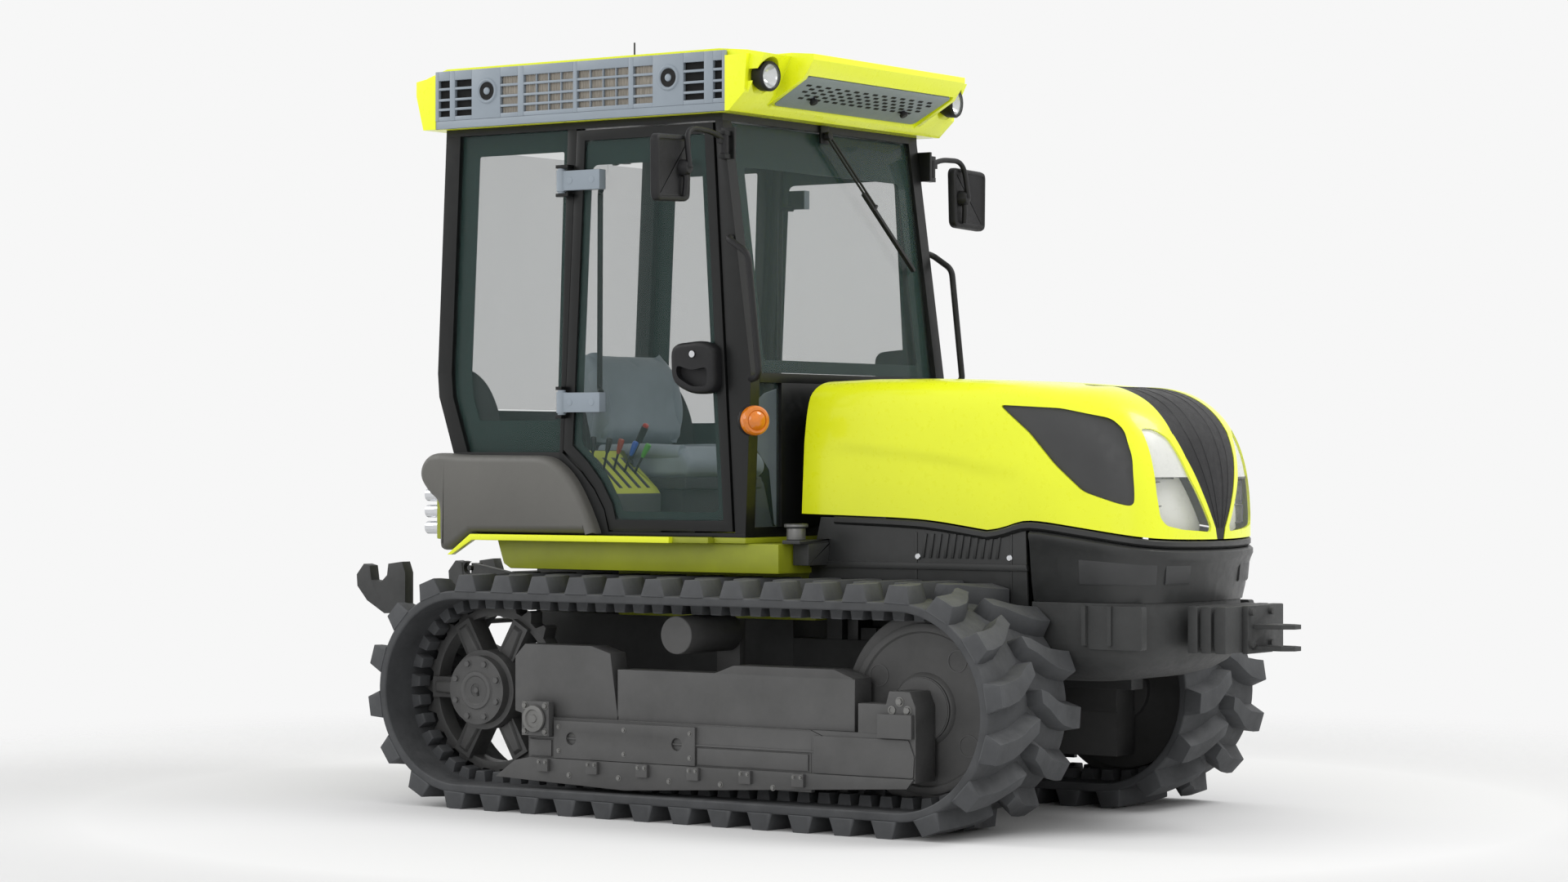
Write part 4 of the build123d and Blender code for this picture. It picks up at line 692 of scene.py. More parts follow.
# ---- hood ----------------------------------------------------------------------------------
HOOD_EDGE = [(196, 962), (620, 950), (820, 928), (895, 918), (960, 930), (1048, 948), (1250, 925),
             (1440, 898), (1530, 888)]
HOOD_EDGE_SMOOTH = spline(HOOD_EDGE, 6)
HOOD_PLAN = spline([(196, -366), (360, -373), (600, -378), (960, -380), (1220, -379), (1345, -367), (1420, -336),
                    (1466, -268), (1490, -170), (1502, -80), (1505, 0)], 10)
HOOD_OUTLINE = HOOD_PLAN + [(x, -y) for x, y in reversed(HOOD_PLAN[:-1])]
RIDGE = [(196, 1386), (400, 1391), (640, 1390), (860, 1383), (1000, 1374), (1130, 1362)]
REAR_LEAN = [(900, 0), (962, 0), (1190, 10), (1340, 24), (1388, 44), (1420, 48)]
SPINE_END = 1130.0
CREASE = [(216, 1180), (446, 1164), (722, 1135), (898, 1104), (1073, 1065), (1194, 1031)]


def hood_point(outline_point, t, n):
    """Point of the hood skin above an outline point; t runs 0 at the lower edge to 1 at the spine."""
    px, py = outline_point
    sx = min(px, SPINE_END)
    angle = t * math.pi / 2
    r, h = math.cos(angle) ** (2 / n), math.sin(angle) ** (2 / n)
    low, high = interp(HOOD_EDGE_SMOOTH, px), interp(RIDGE, sx)
    x, y, z = sx + (px - sx) * r, py * r, low + (high - low) * h
    fade = max(0.0, 1 - (px - 196) / 300)
    x += interp(REAR_LEAN, z) * fade
    crease = interp(CREASE, x)
    side_part = ease((x - 230) / 200) * ease((1330 - x) / 300) * ease((abs(y) - 250) / 90)
    inward = 9.0 * side_part * (0.5 - 0.5 * math.tanh((z - crease) / 6.0))
    y -= math.copysign(inward, y) if y else 0
    return Vector((x, y, z))


def hood_column(outline_point, rows):
    px = outline_point[0]
    nose = ease((px - 1090) / (1505 - 1090))
    n = 9.0 - 6.2 * nose ** 0.55
    fine = [hood_point(outline_point, k / 240, n) for k in range(241)]
    lengths = [0.0]
    for a, b in zip(fine, fine[1:]):
        lengths.append(lengths[-1] + (b - a).length)
    column = []
    j = 0
    for i in range(rows + 1):
        goal = lengths[-1] * i / rows
        while j < 239 and lengths[j + 1] < goal:
            j += 1
        span = max(1e-9, lengths[j + 1] - lengths[j])
        column.append(fine[j].lerp(fine[j + 1], min(1.0, (goal - lengths[j]) / span)))
    return column


def hood_skin(depth_out, depth_in, rows=46):
    """Closed skin of the hood between two depths below its surface."""
    bm = bmesh.new()
    columns = [[bm.verts.new(p * MM) for p in hood_column(q, rows)] for q in HOOD_OUTLINE]
    for a, b in zip(columns, columns[1:]):
        for k in range(rows):
            bm.faces.new((a[k], b[k], b[k + 1], a[k + 1]))
    bmesh.ops.remove_doubles(bm, verts=bm.verts, dist=2e-4)
    ends = list(bm.verts)
    bm.normal_update()
    if sum(f.normal.z for f in bm.faces) < 0:
        bmesh.ops.reverse_faces(bm, faces=bm.faces)
        bm.normal_update()
    seam = [v for v in ends if abs(v.co.y) < 3e-4 and v.co.x < SPINE_END * MM + 0.001]
    normal = {v: Vector((0, 0, 1)) if v in seam else v.normal.copy() for v in ends}
    inner = {v: bm.verts.new(v.co - normal[v] * depth_in * MM) for v in ends}
    for f in list(bm.faces):
        bm.faces.new([inner[v] for v in reversed(f.verts)])
    for e in [e for e in bm.edges if e.is_boundary and e.verts[0] in inner and e.verts[1] in inner]:
        a, b = e.verts
        try:
            bm.faces.new((a, b, inner[b], inner[a]))
        except ValueError:
            pass
    for v in ends:
        v.co -= normal[v] * depth_out * MM
    bmesh.ops.recalc_face_normals(bm, faces=bm.faces)
    return bm


GRILLE = rounded([(935, 1303), (1153, 1291), (1312, 1260), (1354, 1224), (1387, 1141), (1398, 1040), (1398, 992),
                  (1353, 1000), (1235, 1037), (1135, 1121), (1047, 1216)], 22)
LAMP = rounded([(-292, 1230), (-248, 1227), (-207, 1199), (-186, 1152), (-154, 1077), (-57, 930), (-64, 913),
                (-202, 922), (-270, 934), (-291, 959), (-299, 1030), (-298, 1120)], 14)
STRIPE_TOP = [(1030, 4), (1070, 70), (1160, 128), (1290, 166), (1400, 178), (1540, 180)]
STRIPE_FRONT = [(180, 1225), (153, 1140), (122, 1080), (98, 1035), (58, 968), (30, 925), (14, 898)]


def zone_stripe(grow=0.0):
    bm = bmesh.new()
    top = [(x - 2 * grow, y + grow) for x, y in STRIPE_TOP]
    prism(bm, top + [(x, -y) for x, y in reversed(top)], 1212, 1420, "z")
    front = bmesh.new()
    line = [(y + grow, z) for y, z in STRIPE_FRONT]
    line[-1] = (line[-1][0], 870)
    prism(front, line + [(-y, z) for y, z in reversed(line)], 1360, 1540, "x")
    return cut(bm, front, "UNION")


def zone_pair(outline, low, high, axis):
    bm = bmesh.new()
    prism(bm, outline, low, high, axis)
    mirrored(bm)
    return bm


def zone_side(outline):
    return zone_pair(outline, -420, -300, "y")


def zone_lamp(outline):
    return zone_pair(outline, 1330, 1540, "x")


shell = hood_skin(0, 8)
for opening in (zone_stripe(2.0), zone_side(GRILLE), zone_lamp(LAMP)):
    shell = cut(shell, opening)
add_piece("hood_skin", shell, "hood", "lime", smooth=28.0, replaces=("hood_shell",))
for piece_name, depth_out, depth_in, zone, mat, slot, node in (
        ("hood_center_stripe", 1.5, 8, zone_stripe(), "black_plastic", "hood_black", "hood_stripe"),
        ("hood_side_mesh", 9, 12, zone_side(inset(GRILLE, -6)), "charcoal", "hood_black", "hood_grilles"),
        ("headlight_lens", 1.5, 4.5, zone_lamp(inset(LAMP, 1.5)), "lens", "lamp_lens", "headlights")):
    add_piece(piece_name, cut(hood_skin(depth_out, depth_in), zone, "INTERSECT"), "hood", mat, smooth=28.0,
              replaces=(node,))


def lamp_insides():
    low = cut(hood_skin(46, 54, 24), zone_lamp(inset(LAMP, -10)), "INTERSECT")
    add_piece("headlight_pan", low, "hood", "reflector_white", smooth=28.0)
    upper_half = zone_pair([(-330, 1081), (-120, 1081), (-120, 1260), (-330, 1260)], 1300, 1560, "x")
    high = cut(cut(hood_skin(8, 14, 24), zone_lamp(inset(LAMP, -6)), "INTERSECT"), upper_half, "INTERSECT")
    add_piece("headlight_upper_panel", high, "hood", "reflector_white", smooth=28.0)
    bm = bmesh.new()
    brick(bm, 1400, 1434, -302, -170, 1075, 1083)
    for y, z, width, height in ((-262, 1030, 36, 36), (-254, 965, 38, 28)):
        outline = rounded([(y - width, z - height), (y + width - 8, z - height), (y + width, z + height),
                           (y - width, z + height)], 10)
        pillow(bm, outline, ((-2, 1418), (-2, 1424), (1, 1424), (12, 1396), (20, 1386)),
               lambda a, b, x: (x - (z - 1000) * 0.1, a, b))
    mirrored(bm)
    add_piece("headlight_bowls", bm, "hood", "lamp_bowl")


lamp_insides()


RIB_STEPS = 24


def stripe_ribs():
    """Fine creases that run down the whole nose stripe, laid on its surface."""
    skin = hood_skin(1.5, 8)
    tree = BVHTree.FromBMesh(skin)
    skin.free()
    bm = bmesh.new()
    for share in (-0.62, -0.28, 0.28, 0.62):
        hits = []
        for k in range(RIB_STEPS + 1):
            x = 1100 + 325 * k / RIB_STEPS
            hits.append(tree.ray_cast(Vector((x, share * interp(STRIPE_TOP, x), 1500)) * MM, Vector((0, 0, -1))))
        for k in range(RIB_STEPS + 1):
            z = 1235 - 310 * k / RIB_STEPS
            wide = interp([(h, w) for w, h in reversed(STRIPE_FRONT)], z)
            hits.append(tree.ray_cast(Vector((1600, share * wide, z)) * MM, Vector((-1, 0, 0))))
        path = [(place - normal * 1.6 * MM) / MM for place, normal, _, _ in hits if place is not None]
        tube(bm, path, 3.0, 8, 4.0)
    add_piece("stripe_creases", bm, "hood", "black_plastic")


stripe_ribs()

# ---- belt line moulding and lower nose -----------------------------------------------------
def nose_line(first_x):
    line = [p for p in HOOD_PLAN if p[0] >= first_x]
    return line + [(x, -y) for x, y in reversed(line[:-1])]


def skirt(name, line, profile, mat, replaces=(), twin=False):
    """Band that follows the hood's plan; profile gives (offset, height function of x) pairs."""
    bm = bmesh.new()
    rings = []
    for i, (x, y) in enumerate(line):
        a, b = Vector(line[max(0, i - 1)]), Vector(line[min(len(line) - 1, i + 1)])
        d = (b - a).normalized()
        n = Vector((d.y, -d.x))
        rings.append(new_ring(bm, [(x + n.x * off, y + n.y * off, height(x)) for off, height in profile]))
    loft(bm, rings)
    if twin:
        mirrored(bm)
    add_piece(name, bm, "chassis", mat, smooth=40.0, replaces=replaces)


def edge(drop):
    return lambda x: interp(HOOD_EDGE_SMOOTH, x) - drop


def level(z):
    return lambda x: z


skirt("belt_line_moulding", nose_line(312), [(-14, edge(6)), (-3, edge(5)), (1, edge(9)), (1, edge(22)),
                                             (-7, edge(30)), (-14, edge(32))], "nose")
skirt("nose_moulding", nose_line(HOOD_EDGE[5][0] - 8),
      [(-16, edge(31)), (0, edge(32)), (8, edge(39)), (8, edge(52)), (2, edge(66)), (-8, level(800)),
       (-16, level(745)), (-26, level(701)), (-38, level(701)), (-24, level(760))],
      "nose", replaces=("lower_nose",))
for panel_name, x0, x1, high in (("nose_side_panels", 1200, 1452, 868), ("nose_front_panels", 1464, 1493, 845)):
    span = [q for q in HOOD_PLAN if x0 <= q[0] <= x1]

    def slope(x, top=high, start=x0):
        return top - 0.10 * (x - start)
    skirt(panel_name, span, [(-14, slope), (-1.5, slope), (-1, lambda x, f=slope: f(x) - 5), (-8, level(762)),
                             (-11, level(756)), (-22, level(756))], "charcoal", twin=True)


def side_panels():
    """Ribbed engine side panels with a ledge, screws and their feet."""
    bm = bmesh.new()
    top = [(x, z - 8) for x, z in HOOD_EDGE_SMOOTH if 206 <= x <= 1034]
    prism(bm, [(206, 690), (312, 662), (1036, 662)] + top[::-1], -366, -356)
    prism(bm, [(206, 792), (1037, 792), (1037, 796), (1034, 812), (206, 812)], -375, -360)
    for i in range(11):
        x = 655 + 27 * i
        prism(bm, [(x - 5, 828), (x + 5, 828), (x + 17, 904), (x + 7, 904)], -371, -362)
    for x0, x1 in ((626, 634), (972, 980)):
        brick(bm, x0, x1, -369, -360, 668, 908)
    brick(bm, 322, 1000, -366, -290, 640, 660)
    for x in (322, 925):
        brick(bm, x, x + 40, -292, -215, 560, 660)
    mirrored(bm)
    add_piece("engine_side_panels", bm, "chassis", "nose", replaces=("side_panels",), bevel=(2.0, 2))
    bm = bmesh.new()
    for x in (637, 971):
        lathe(bm, (x, -366, 832), (0, -1, 0), [(0, 0), (10, 0), (10, 4), (8, 6), (0, 6)], 24)
    mirrored(bm)
    add_piece("side_panel_screws", bm, "chassis", "steel")


side_panels()


BOWL_BACK = 1040


def nose_bowl():
    """Cast weight carrier: rounded bowl under the nose with slim upright ribs."""
    bm = bmesh.new()
    rings = []
    for z, along, across_share in ((700, 0.93, 0.955), (640, 0.935, 0.957), (575, 0.93, 0.955), (540, 0.90, 0.94),
                                   (508, 0.84, 0.90), (482, 0.74, 0.82), (463, 0.60, 0.70), (452, 0.40, 0.52),
                                   (449, 0.15, 0.25)):
        rings.append(new_ring(bm, [(BOWL_BACK + (x - BOWL_BACK) * along, y * across_share, z)
                                   for x, y in nose_line(BOWL_BACK)]))
    loft(bm, rings)
    for x, face in ((1236, 362), (1322, 357)):
        for side in (-1, 1):
            brick(bm, x - 7, x + 7, *across(side, face, face + 14), 572, 692)
    for side in (-1, 1):
        prism(bm, rounded([(1245, 560), (1430, 560), (1430, 692), (1245, 692)], 8, 2), *across(side, 330, 361))
    add_piece("nose_bowl", bm, "chassis", "casting", smooth=30.0, replaces=("nose_casting",))


nose_bowl()
soften("front_ballast", "casting", 4.0)
soften("tow_clevis", "casting", 3.0)
soften("chassis_hull", "casting", 5.0)
soften("engine", "casting", 4.0)

# ---- roof ----------------------------------------------------------------------------------
soften("roof_shell", "lime", 9.0, 3)


def roof_side(bm_frame, bm_filter, bm_painted_shade, side):
    y0, y1 = across(side, 606, 620)
    cols = [(-1100, -1052), (-1030, -958), (-836, -762), (-738, -532), (-516, -306), (-287, -209), (-87, -6), (29, 64)]
    rows = [(2276, 2296), (2304, 2328), (2336, 2364), (2372, 2396)]
    bars_x = [-1114] + [x for c in cols for x in c] + [75]
    for k in range(0, len(bars_x), 2):
        brick(bm_frame, bars_x[k], bars_x[k + 1], y0, y1, 2262, 2427)
    for c in cols:
        z = 2262
        for low, high in rows:
            brick(bm_frame, c[0], c[1], y0 + 0.5 if side < 0 else y0, y1 if side < 0 else y1 - 0.5, z, low)
            z = high
        brick(bm_frame, c[0], c[1], y0, y1, z, 2427)
        if -840 < c[0] < -200 and c[1] - c[0] > 150:
            for j in range(1, 4):
                x = c[0] + (c[1] - c[0]) * j / 4
                brick(bm_frame, x - 2, x + 2, y0 + 2, y1 - 2, 2262, 2410)
    prism(bm_frame, [(-1114, 2236), (75, 2236), (75, 2262), (-1114, 2262)], *across(side, 600, 618))
    pleat = [(-840 + 6 * k, side * (605.5 if k % 2 else 602.5)) for k in range(106)]
    lower, upper = [new_ring(bm_filter, [(x, y, z) for x, y in pleat]) for z in (2264, 2408)]
    for i in range(len(pleat) - 1):
        bm_filter.faces.new((lower[i], lower[i + 1], upper[i + 1], upper[i]))
    # dark sheets behind the open grille columns: painted shade
    for x0, x1 in ((-1112, -842), (-203, 73)):
        brick(bm_painted_shade, x0, x1, *across(side, 601, 603.5), 2264, 2408)
    for x in (-892, -146):
        lathe(bm_frame, (x, side * 606, 2352), (0, side, 0),
              [(0, 14.4), (24, 14.4), (30, 15), (34, 19), (39, 19), (43, 14), (43, 8)], 32)
        lathe(bm_frame, (x, side * 606, 2352), (0, side, 0), [(0, 14), (13, 14), (11, 19), (0, 20)], 24)
        # dark annulus round the hub: painted shade of a recess
        lathe(bm_painted_shade, (x, side * 606, 2352), (0, side, 0), [(14, 14.7), (28, 14.7), (30, 15.6), (14, 15)], 32)


def roof_grilles():
    frames, filters, painted_shades = bmesh.new(), bmesh.new(), bmesh.new()
    for side in (-1, 1):
        roof_side(frames, filters, painted_shades, side)
    add_piece("roof_side_grilles", frames, "chassis", "slate", replaces=("roof_grilles",),
              bevel=(1.5, 2, 45.0))
    add_piece("roof_filters", filters, "chassis", "filter", smooth=5.0)
    add_piece("roof_grille_shade_sheet", painted_shades, "chassis", "void")


roof_grilles()


VISOR_OUT = Vector((0.489, 0, -0.872))
VISOR_SLOTS = 14     # in each of its rows


def on_visor(x, y, d):
    """Point at height d off the sloping underside of the visor."""
    return Vector((x, y, 2268 + (x - 120) * 78 / 139)) + VISOR_OUT * d


def visor_panel():
    bm = bmesh.new()
    outline = rounded([(116, -412), (262, -425), (262, 425), (116, 412)], 18)
    loft(bm, [new_ring(bm, [on_visor(x, y, d) for x, y in outline]) for d in (-6, 1.5)])
    add_piece("visor_panel", bm, "chassis", "slate", bevel=(2.0, 2))
    # visor slots are flat near-black faces: painted shade of the openings
    bm = bmesh.new()
    for row in range(5):
        x = 166 + row * 15
        reach = 330 + row * 10
        for i in range(VISOR_SLOTS):
            y = -reach + (2 * reach) * (i + 0.5 * (row % 2)) / (VISOR_SLOTS - 0.5)
            slot_line = rounded([(x - 4.5, y - 14), (x + 4.5, y - 14), (x + 4.5, y + 14), (x - 4.5, y + 14)], 4, 3)
            low, high = [new_ring(bm, [on_visor(a, b, d) for a, b in slot_line]) for d in (1.0, 1.9)]
            bm.faces.new(high)
            web(bm, low, high)
    add_piece("visor_slots", bm, "chassis", "void")
    bm = bmesh.new()
    for y in (-266, 266):
        lathe(bm, on_visor(168, y, 0), VISOR_OUT,
              [(0, 0), (9, 0), (9, 8), (14, 9), (14, 16), (11, 19), (0, 19)], 20)
    add_piece("visor_knobs", bm, "chassis", "black_plastic")


visor_panel()


def work_lamps():
    shells, lenses, inner, rear = [bmesh.new() for _ in range(4)]
    for side in (-1, 1):
        start = (152, side * 545, 2345)
        d = (1, side * 0.12, -0.06)
        lathe(shells, start, d,
              [(0, 0), (36, 0), (47, 20), (48, 50), (44, 56), (40, 56), (39, 44), (26, 22), (0, 14)], 36)
        lathe(lenses, start, d, [(41, 53), (38, 57), (20, 60), (0, 61)], 36)
        lathe(inner, start, d, [(0, 20), (12, 22), (26, 30), (38, 47), (38.6, 45), (26, 25), (0, 15)], 36)
        brick(rear, -1150, -1122, *across(side, 410, 470), 2192, 2236)
        lathe(rear, (-1150, side * 440, 2211), (-1, 0, -0.2), [(0, 0), (19, 0), (21, 14), (18, 22), (0, 20)], 28)
    add_piece("work_lamp_shells", shells, "chassis", "black_plastic", replaces=("work_lamps",))
    add_piece("work_lamp_lenses", lenses, "chassis", "lens")
    add_piece("work_lamp_reflectors", inner, "chassis", "reflector")
    add_piece("rear_work_lamps", rear, "chassis", "black_plastic")


work_lamps()

# ---- cab -----------------------------------------------------------------------------------
soften("cab_frame", "black", 3.0)
soften("antenna", "black_plastic", 1.0)
bm = bmesh.new()
tube(bm, [(64, -548, 1838), (70, -601, 1836), (152, -601, 1783), (194, -601, 1408), (178, -592, 1392),
          (118, -548, 1386)], 10.5, 16, 24)
mirrored(bm)
add_piece("grab_rails", bm, "chassis", "black_plastic", replaces=("grab_rails",))
soften("cab_mounts", ["casting", "zinc"], 3.0, pick=lambda c, n: 1 if c.z > 881 else 0)
soften("floor_tub", "tub", 5.0)
soften("hydraulic_couplers", "steel", 2.0)
soften("rear_window", "glass", 1.0)
soften("cab_glass", "glass", 0.8)
HINGE_HEIGHTS = (2043, 1320)


def on_hinge_arm(centre):
    return abs(centre.y) > 576 and centre.x < -430 and min(abs(centre.z - z) for z in HINGE_HEIGHTS) < 45


for door in ("right", "left"):
    soften(door + "_door_frame", ["black", "slate"], 3.0, pick=lambda c, n: 1 if on_hinge_arm(c) else 0)
    soften(door + "_door_glass", "glass", 0.5)
    soften(door + "_lock_button", "steel", 1.5)

DOOR_GLASS = [(-517, 2172), (-36, 2172), (10, 1409), (38, 940), (-392, 940), (-405, 990), (-449, 1062),
              (-506, 1127), (-568, 1180)]
SIDE_GLASS = [(-1016, 1158), (-1079, 1344), (-1085, 1422), (-1047, 2212), (-592, 2212), (-626, 1158)]

DOOR_GLASS_IN = [(-496, 2092), (-56, 2092), (-15, 1409), (13, 966), (-372, 966), (-382, 1000), (-429, 1078),
                 (-488, 1144), (-541, 1188)]
SIDE_GLASS_IN = [(-981, 1263), (-1008, 1344), (-1014, 1422), (-979, 2142), (-622, 2142), (-651, 1263)]


def on_windshield(y, z, d):
    """Point at depth d behind the leaning windshield."""
    return (14 - (z - 2212) * 102 / 803 - d, y, z)


def glass_bands():
    """Dark printed edges of the panes, rear corner trims and the doors' grab rods."""
    for label, side in SIDES:
        door = label + "_door"
        for name, body, outer, inner, radius, low, high in (
                ("_door_glass_band", door, DOOR_GLASS, DOOR_GLASS_IN, 26, 560.5, 562.5),
                ("_side_glass_band", "chassis", SIDE_GLASS, SIDE_GLASS_IN, 8, 547.5, 549.5)):
            bm = bmesh.new()
            flat_frame(bm, rounded(outer, radius), rounded(inner, radius), *across(side, low, high),
                       lambda a, b, c: (a, c, b))
            add_piece(label + name, bm, body, "band")
        bm = bmesh.new()
        curve = spline([(-1079, 1420), (-1062, 1432), (-1010, 1424), (-950, 1372), (-905, 1280), (-890, 1180)], 6)
        prism(bm, curve + [(-890, 1158), (-1016, 1158), (-1079, 1344)], *across(side, 536, 540))
        add_piece(label + "_corner_trim", bm, "chassis", "black_plastic", bevel=(1.5, 2))
        bm = bmesh.new()
        tube(bm, [(-470, side * 550, 2010), (-500, side * 515, 2010), (-505, side * 512, 1360),
                  (-470, side * 550, 1355)], 9, 14, 40)
        add_piece(label + "_door_grab_rod", bm, door, "black_plastic")
    bm = bmesh.new()
    outer = [(-516, 1412), (516, 1412), (516, 2208), (-516, 2208)]
    inner = [(-452, 1452), (452, 1452), (452, 2070), (-452, 2070)]
    flat_frame(bm, rounded(outer, 6), rounded(inner, 18), 2, 4, on_windshield)
    add_piece("windshield_band", bm, "chassis", "band")


glass_bands()
soften("wiper", "black_plastic", 0.8)


def mirrors():
    """Padded mirror heads on bent arms, with the boss and stem on their front."""
    for label, side in SIDES:
        bm = bmesh.new()
        outline = rounded([(766, 2148), (968, 2141), (964, 1932), (774, 1940)], 26)

        def on_head(a, b, x):
            return (x + (a - 766) * 0.05, side * a, b)
        pillow(bm, outline, ((5, 28), (0, 33), (0, 46), (4, 54), (10, 57), (15, 57), (19, 53), (24, 52)), on_head)
        tube(bm, [(64, side * 614, 2148), (64, side * 680, 2166), (66, side * 815, 2170), (84, side * 818, 2042)],
             9, 16, 60)
        lathe(bm, (54, side * 818, 2042), (1, 0, 0), [(0, 0), (27, 0), (25, 20), (17, 30), (0, 33)], 28)
        tube(bm, [(64, side * 818, 2040), (70, side * 818, 2010), (66, side * 820, 1955)], 9, 14, 16)
        lathe(bm, (64, side * 608, 2100.5), (0, 0, 1), [(6.4, 0), (15, 0), (15, 57), (6.4, 57), (6.4, 0)], 28)
        brick(bm, 58, 70, *across(side, 618, 640), 2132, 2156)
        add_piece(label + "_mirror_head", bm, label + "_mirror", "black_plastic",
                  replaces=(label + "_mirror",))
        bm = bmesh.new()
        face = inset(outline, 11)
        for x in (27.4, 29.4):
            bm.faces.new(new_ring(bm, [on_head(a, b, x) for a, b in face]))
        bmesh.ops.bridge_loops(bm, edges=bm.edges[:])
        add_piece(label + "_mirror_glass", bm, label + "_mirror", "mirror")


def door_fittings():
    """Rounded lock housings and tapered hinge arms."""
    for label, side in SIDES:
        bm = bmesh.new()
        outline = rounded([(-146, 1502), (-20, 1512), (28, 1492), (32, 1346), (-62, 1340), (-142, 1378)], 40)

        def on_side(a, b, y):
            return (a, side * y, b)
        pillow(bm, outline, ((0, 576), (0, 600), (3, 609), (8, 615), (15, 617), (23, 617)), on_side)
        pocket = bmesh.new()
        prism(pocket, rounded([(-118, 1436), (-116, 1398), (-58, 1366), (2, 1366), (4, 1428), (-60, 1418)], 18),
              *across(side, 592, 640))
        bm = cut(bm, pocket)
        bore = bmesh.new()
        lathe(bore, (-52, side * 579.5, 1469), (0, side, 0), [(0, 0), (12, 0), (12, 50), (0, 50)], 32)
        bm = cut(bm, bore)
        brick(bm, -120, -20, *across(side, 569.5, 577), 1400, 1470)
        add_piece(label + "_handle_housing", bm, label + "_door", "black_plastic", smooth=40.0,
                  replaces=(label + "_door_handle",))
        bm = bmesh.new()
        for z in HINGE_HEIGHTS:
            arm = rounded([(-606, z - 26), (-560, z - 30), (-470, z - 22), (-446, z - 14), (-446, z + 14),
                           (-470, z + 22), (-560, z + 30), (-606, z + 26)], 16)
            pillow(bm, arm, ((0, 580), (0, 592), (3, 597), (8, 599)), on_side)
            for x in (-470, -560):
                lathe(bm, (x, side * 598, z), (0, side, 0), [(0, 0), (12, 0), (11, 5), (0, 6)], 28)
            lathe(bm, (-600, side * 592, z - 34), (0, 0, 1), [(8.4, 0), (17, 0), (17, 68), (8.4, 68), (8.4, 0)], 28)
        add_piece(label + "_hinge_arms", bm, label + "_door", "slate", smooth=40.0)


door_fittings()
mirrors()


def signals():
    lenses, bases = bmesh.new(), bmesh.new()
    for side in (-1, 1):
        start, turned = (150, side * 584, 1257), (0.88, side * 0.47, 0)
        lathe(bases, start, turned, [(0, 0), (47, 0), (49, 6), (49, 20), (0, 20)], 40)
        lathe(lenses, start, turned, [(47, 20), (48, 28), (46, 40), (40, 46), (33, 47), (31, 44), (28, 48), (16, 53),
                                      (0, 55), (0, 20)], 40)
        brick(bases, 136, 153, *across(side, 548, 590), 1238, 1276)
    add_piece("turn_signal_lenses", lenses, "chassis", "amber", replaces=("turn_signals",))
    add_piece("turn_signal_bases", bases, "chassis", "black_plastic")


signals()


def fender_skins():
    for label, side in SIDES:
        outer = spline([(-964, 894), (-1046, 842), (-1094, 838), (-1101, 900), (-1106, 985), (-1150, 1026),
                        (-1182, 1070), (-1180, 1112), (-1150, 1146), (-1100, 1156), (-1000, 1150), (-760, 1148),
                        (-660, 1144), (-600, 1118), (-545, 1066), (-500, 996), (-462, 920), (-452, 894)], 5)
        bm = bmesh.new()
        pillow(bm, outer, ((0, 571), (0, 598), (1.5, 606), (5, 614), (10, 620), (17, 624), (24, 626)),
               lambda a, b, y: (a, side * y, b))
        add_piece(label + "_fender_skin", bm, "chassis", "fender", smooth=40.0,
                  replaces=("fenders",) if side < 0 else ())
        bm = bmesh.new()
        prism(bm, [(-1059, 818), (-1040, 818), (-952, 868), (-140, 868), (-140, 888), (-960, 888)],
              *across(side, 604, 626))
        add_piece(label + "_fender_trim", bm, "chassis", "lime", bevel=(2.5, 2))


fender_skins()

# ---- interior ------------------------------------------------------------------------------
soften("console", ["trim", "moss"], 4.0, 3,
       pick=lambda c, n: 1 if n.z > 0.3 and c.y < -200 and c.z > 1000 else 0)
soften("dashboard", "slate", 10.0, 3)
soften("seat_frame", "seat_shell", 8.0, 3)
soften("joystick", "black_plastic", 4.0, 3)


LEVER_PIVOT_X, LEVER_PIVOT_Z, LEVER_FIRST_Y, LEVER_PITCH = -553, 1045, -497, 50
LEVER_LEAN = (4, 14, 18, 26, 32)
JOYSTICK, JOYSTICK_LEAN = (-571, -264, 1124.3), math.radians(29)


def levers():
    x, z = LEVER_PIVOT_X, LEVER_PIVOT_Z
    for i, lean in enumerate(LEVER_LEAN):
        y = LEVER_FIRST_Y + LEVER_PITCH * i
        body = "lever_%d" % (i + 1)
        d = (math.sin(math.radians(lean)), 0, math.cos(math.radians(lean)))
        bm = bmesh.new()
        lathe(bm, (x, y, z), d, [(0, 8), (4.2, 8), (4.0, 124), (0, 124)], 12)
        lathe(bm, (x, y - 5, z), (0, 1, 0), [(0, 0), (11, 0), (11, 10), (0, 10)], 20)
        add_piece(body + "_stick", bm, body, "black_plastic", replaces=(body,))
        bm = bmesh.new()
        lathe(bm, (x, y, z), d, [(0, 114), (5, 114), (7.5, 122), (9.5, 142), (10.5, 158), (9, 164), (0, 166)], 20)
        add_piece(body + "_knob", bm, body, "knob_%d" % (i + 1))
    bm = bmesh.new()
    lathe(bm, JOYSTICK, (math.sin(JOYSTICK_LEAN), 0, math.cos(JOYSTICK_LEAN)),
          [(0, 134), (10, 134), (10.5, 142), (7, 146), (0, 147)], 20)
    add_piece("joystick_button", bm, "joystick", "red")


levers()


def pad(name, outline, node):
    """Crowned cushion: rounded prism with drawn-in edges, puffed by cloth."""
    bm = bmesh.new()
    levels = ((14, -1.0), (4, -0.985), (0, -0.9), (0, -0.6), (0, 0.0), (0, 0.6), (0, 0.9), (4, 0.985), (14, 1.0))
    pillow(bm, rounded(outline, 30, 4), levels, lambda a, b, share: (a, share * SEAT_HALF, b))
    obj = add_piece(name, bm, "seat", "seat", smooth=60.0, replaces=(node,))
    puff(obj, 10.0)


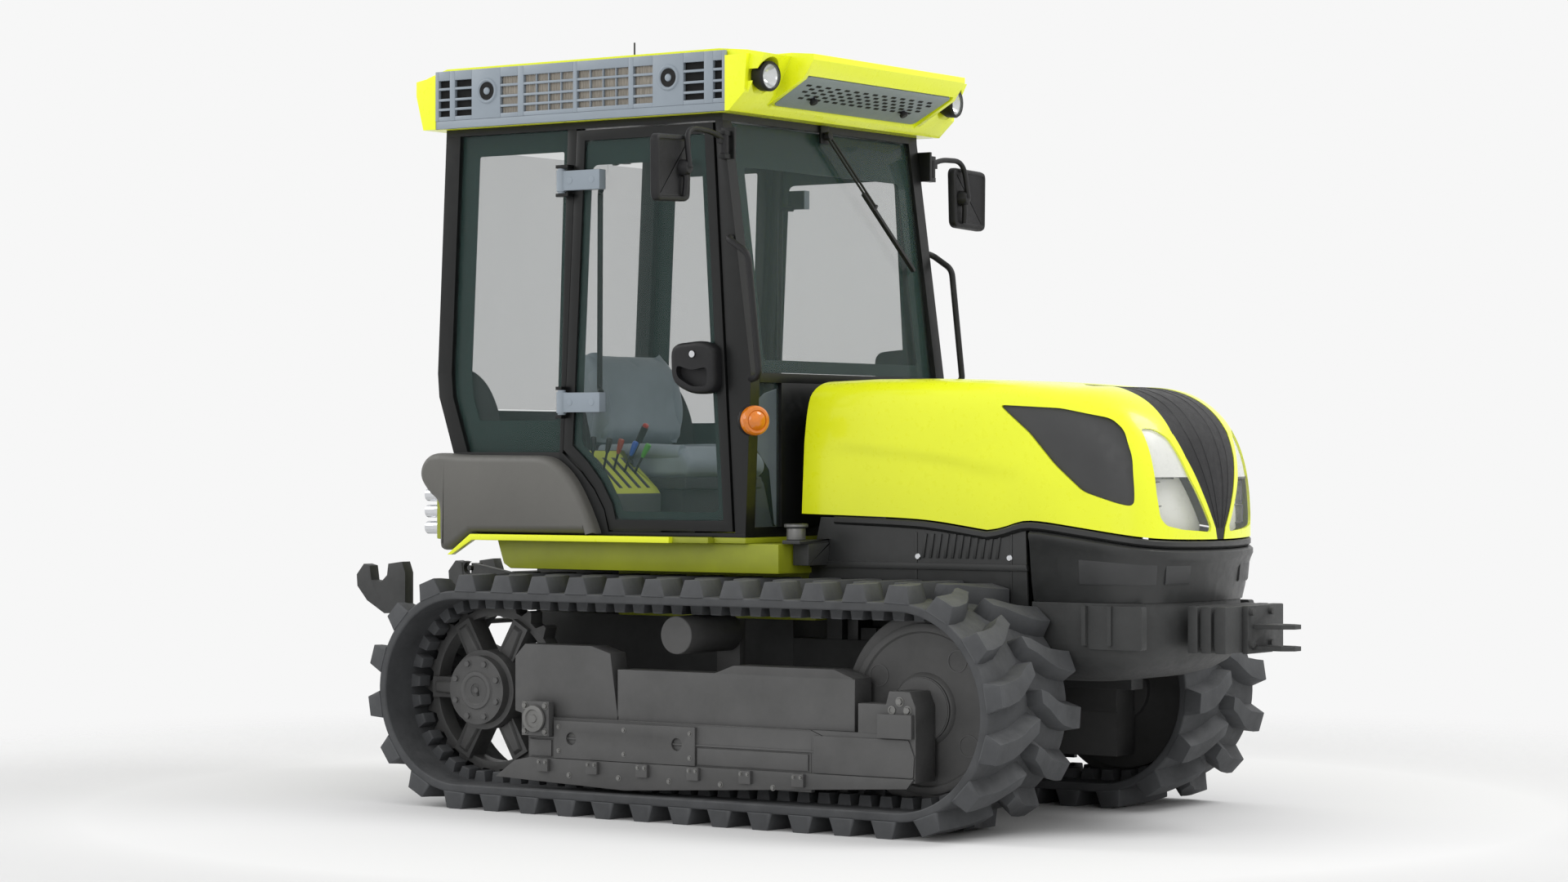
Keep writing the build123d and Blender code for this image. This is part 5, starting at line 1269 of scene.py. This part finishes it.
def puff(obj, cap):
    """Cloth-blown crown, with every point's move capped in millimetres."""
    mod = obj.modifiers.new("voxel", "REMESH")
    mod.mode = "VOXEL"
    mod.voxel_size = 0.009
    deps = bpy.context.evaluated_depsgraph_get()
    bpy.context.view_layer.update()
    mesh = bpy.data.meshes.new_from_object(obj.evaluated_get(deps))
    obj.modifiers.clear()
    old = obj.data
    mats = list(old.materials)
    obj.data = mesh
    mesh.materials.clear()
    for m in mats:
        mesh.materials.append(m)
    start = [v.co.copy() for v in mesh.vertices]
    cloth = obj.modifiers.new("cloth", "CLOTH")
    cloth.settings.use_pressure = True
    cloth.settings.uniform_pressure_force = 4.0
    cloth.settings.effector_weights.gravity = 0.0
    cloth.settings.quality = 5
    cloth.point_cache.frame_start = 1
    cloth.point_cache.frame_end = 20
    for f in range(1, 16):
        scene.frame_set(f)
    bpy.context.view_layer.update()
    puffed = bpy.data.meshes.new_from_object(obj.evaluated_get(bpy.context.evaluated_depsgraph_get()))
    obj.modifiers.clear()
    moved = [v.co.copy() for v in puffed.vertices]
    for v, a, b in zip(mesh.vertices, start, moved):
        d = b - a
        v.co = a + d * min(1.0, cap * MM / max(1e-9, d.length))
    bpy.data.meshes.remove(puffed)
    scene.frame_set(1)
    for poly in mesh.polygons:
        poly.use_smooth = True


SEAT_Z, SEAT_HALF = 1075.0, 226
pad("seat_cushion_pad", [(-776, SEAT_Z + 2), (-352, SEAT_Z + 2), (-342, SEAT_Z + 50), (-384, SEAT_Z + 96),
                         (-560, SEAT_Z + 84), (-762, SEAT_Z + 82)], "seat_cushion")
pad("seat_back_pad", [(-776, SEAT_Z + 100), (-856, 1488), (-792, 1500), (-742, 1436), (-708, SEAT_Z + 134),
                      (-746, SEAT_Z + 100)], "seat_back")


def bolsters():
    """Raised side rolls of the seat."""
    bm = bmesh.new()
    for side in (-1, 1):
        tube(bm, [(-752, side * 196, 1200), (-728, side * 206, 1290), (-750, side * 204, 1400),
                  (-800, side * 170, 1478)], 30, 18, 90)
        tube(bm, [(-730, side * 204, SEAT_Z + 84), (-560, side * 208, SEAT_Z + 88),
                  (-400, side * 200, SEAT_Z + 82)], 26, 18, 90)
    piece = add_piece("seat_bolsters", bm, "seat", "seat", smooth=60.0)


bolsters()

# ---- rear linkage --------------------------------------------------------------------------
soften("lower_links", "casting", 4.0)
soften("lift_arms", "casting", 4.0)
soften("lift_rods", "casting", 2.0)
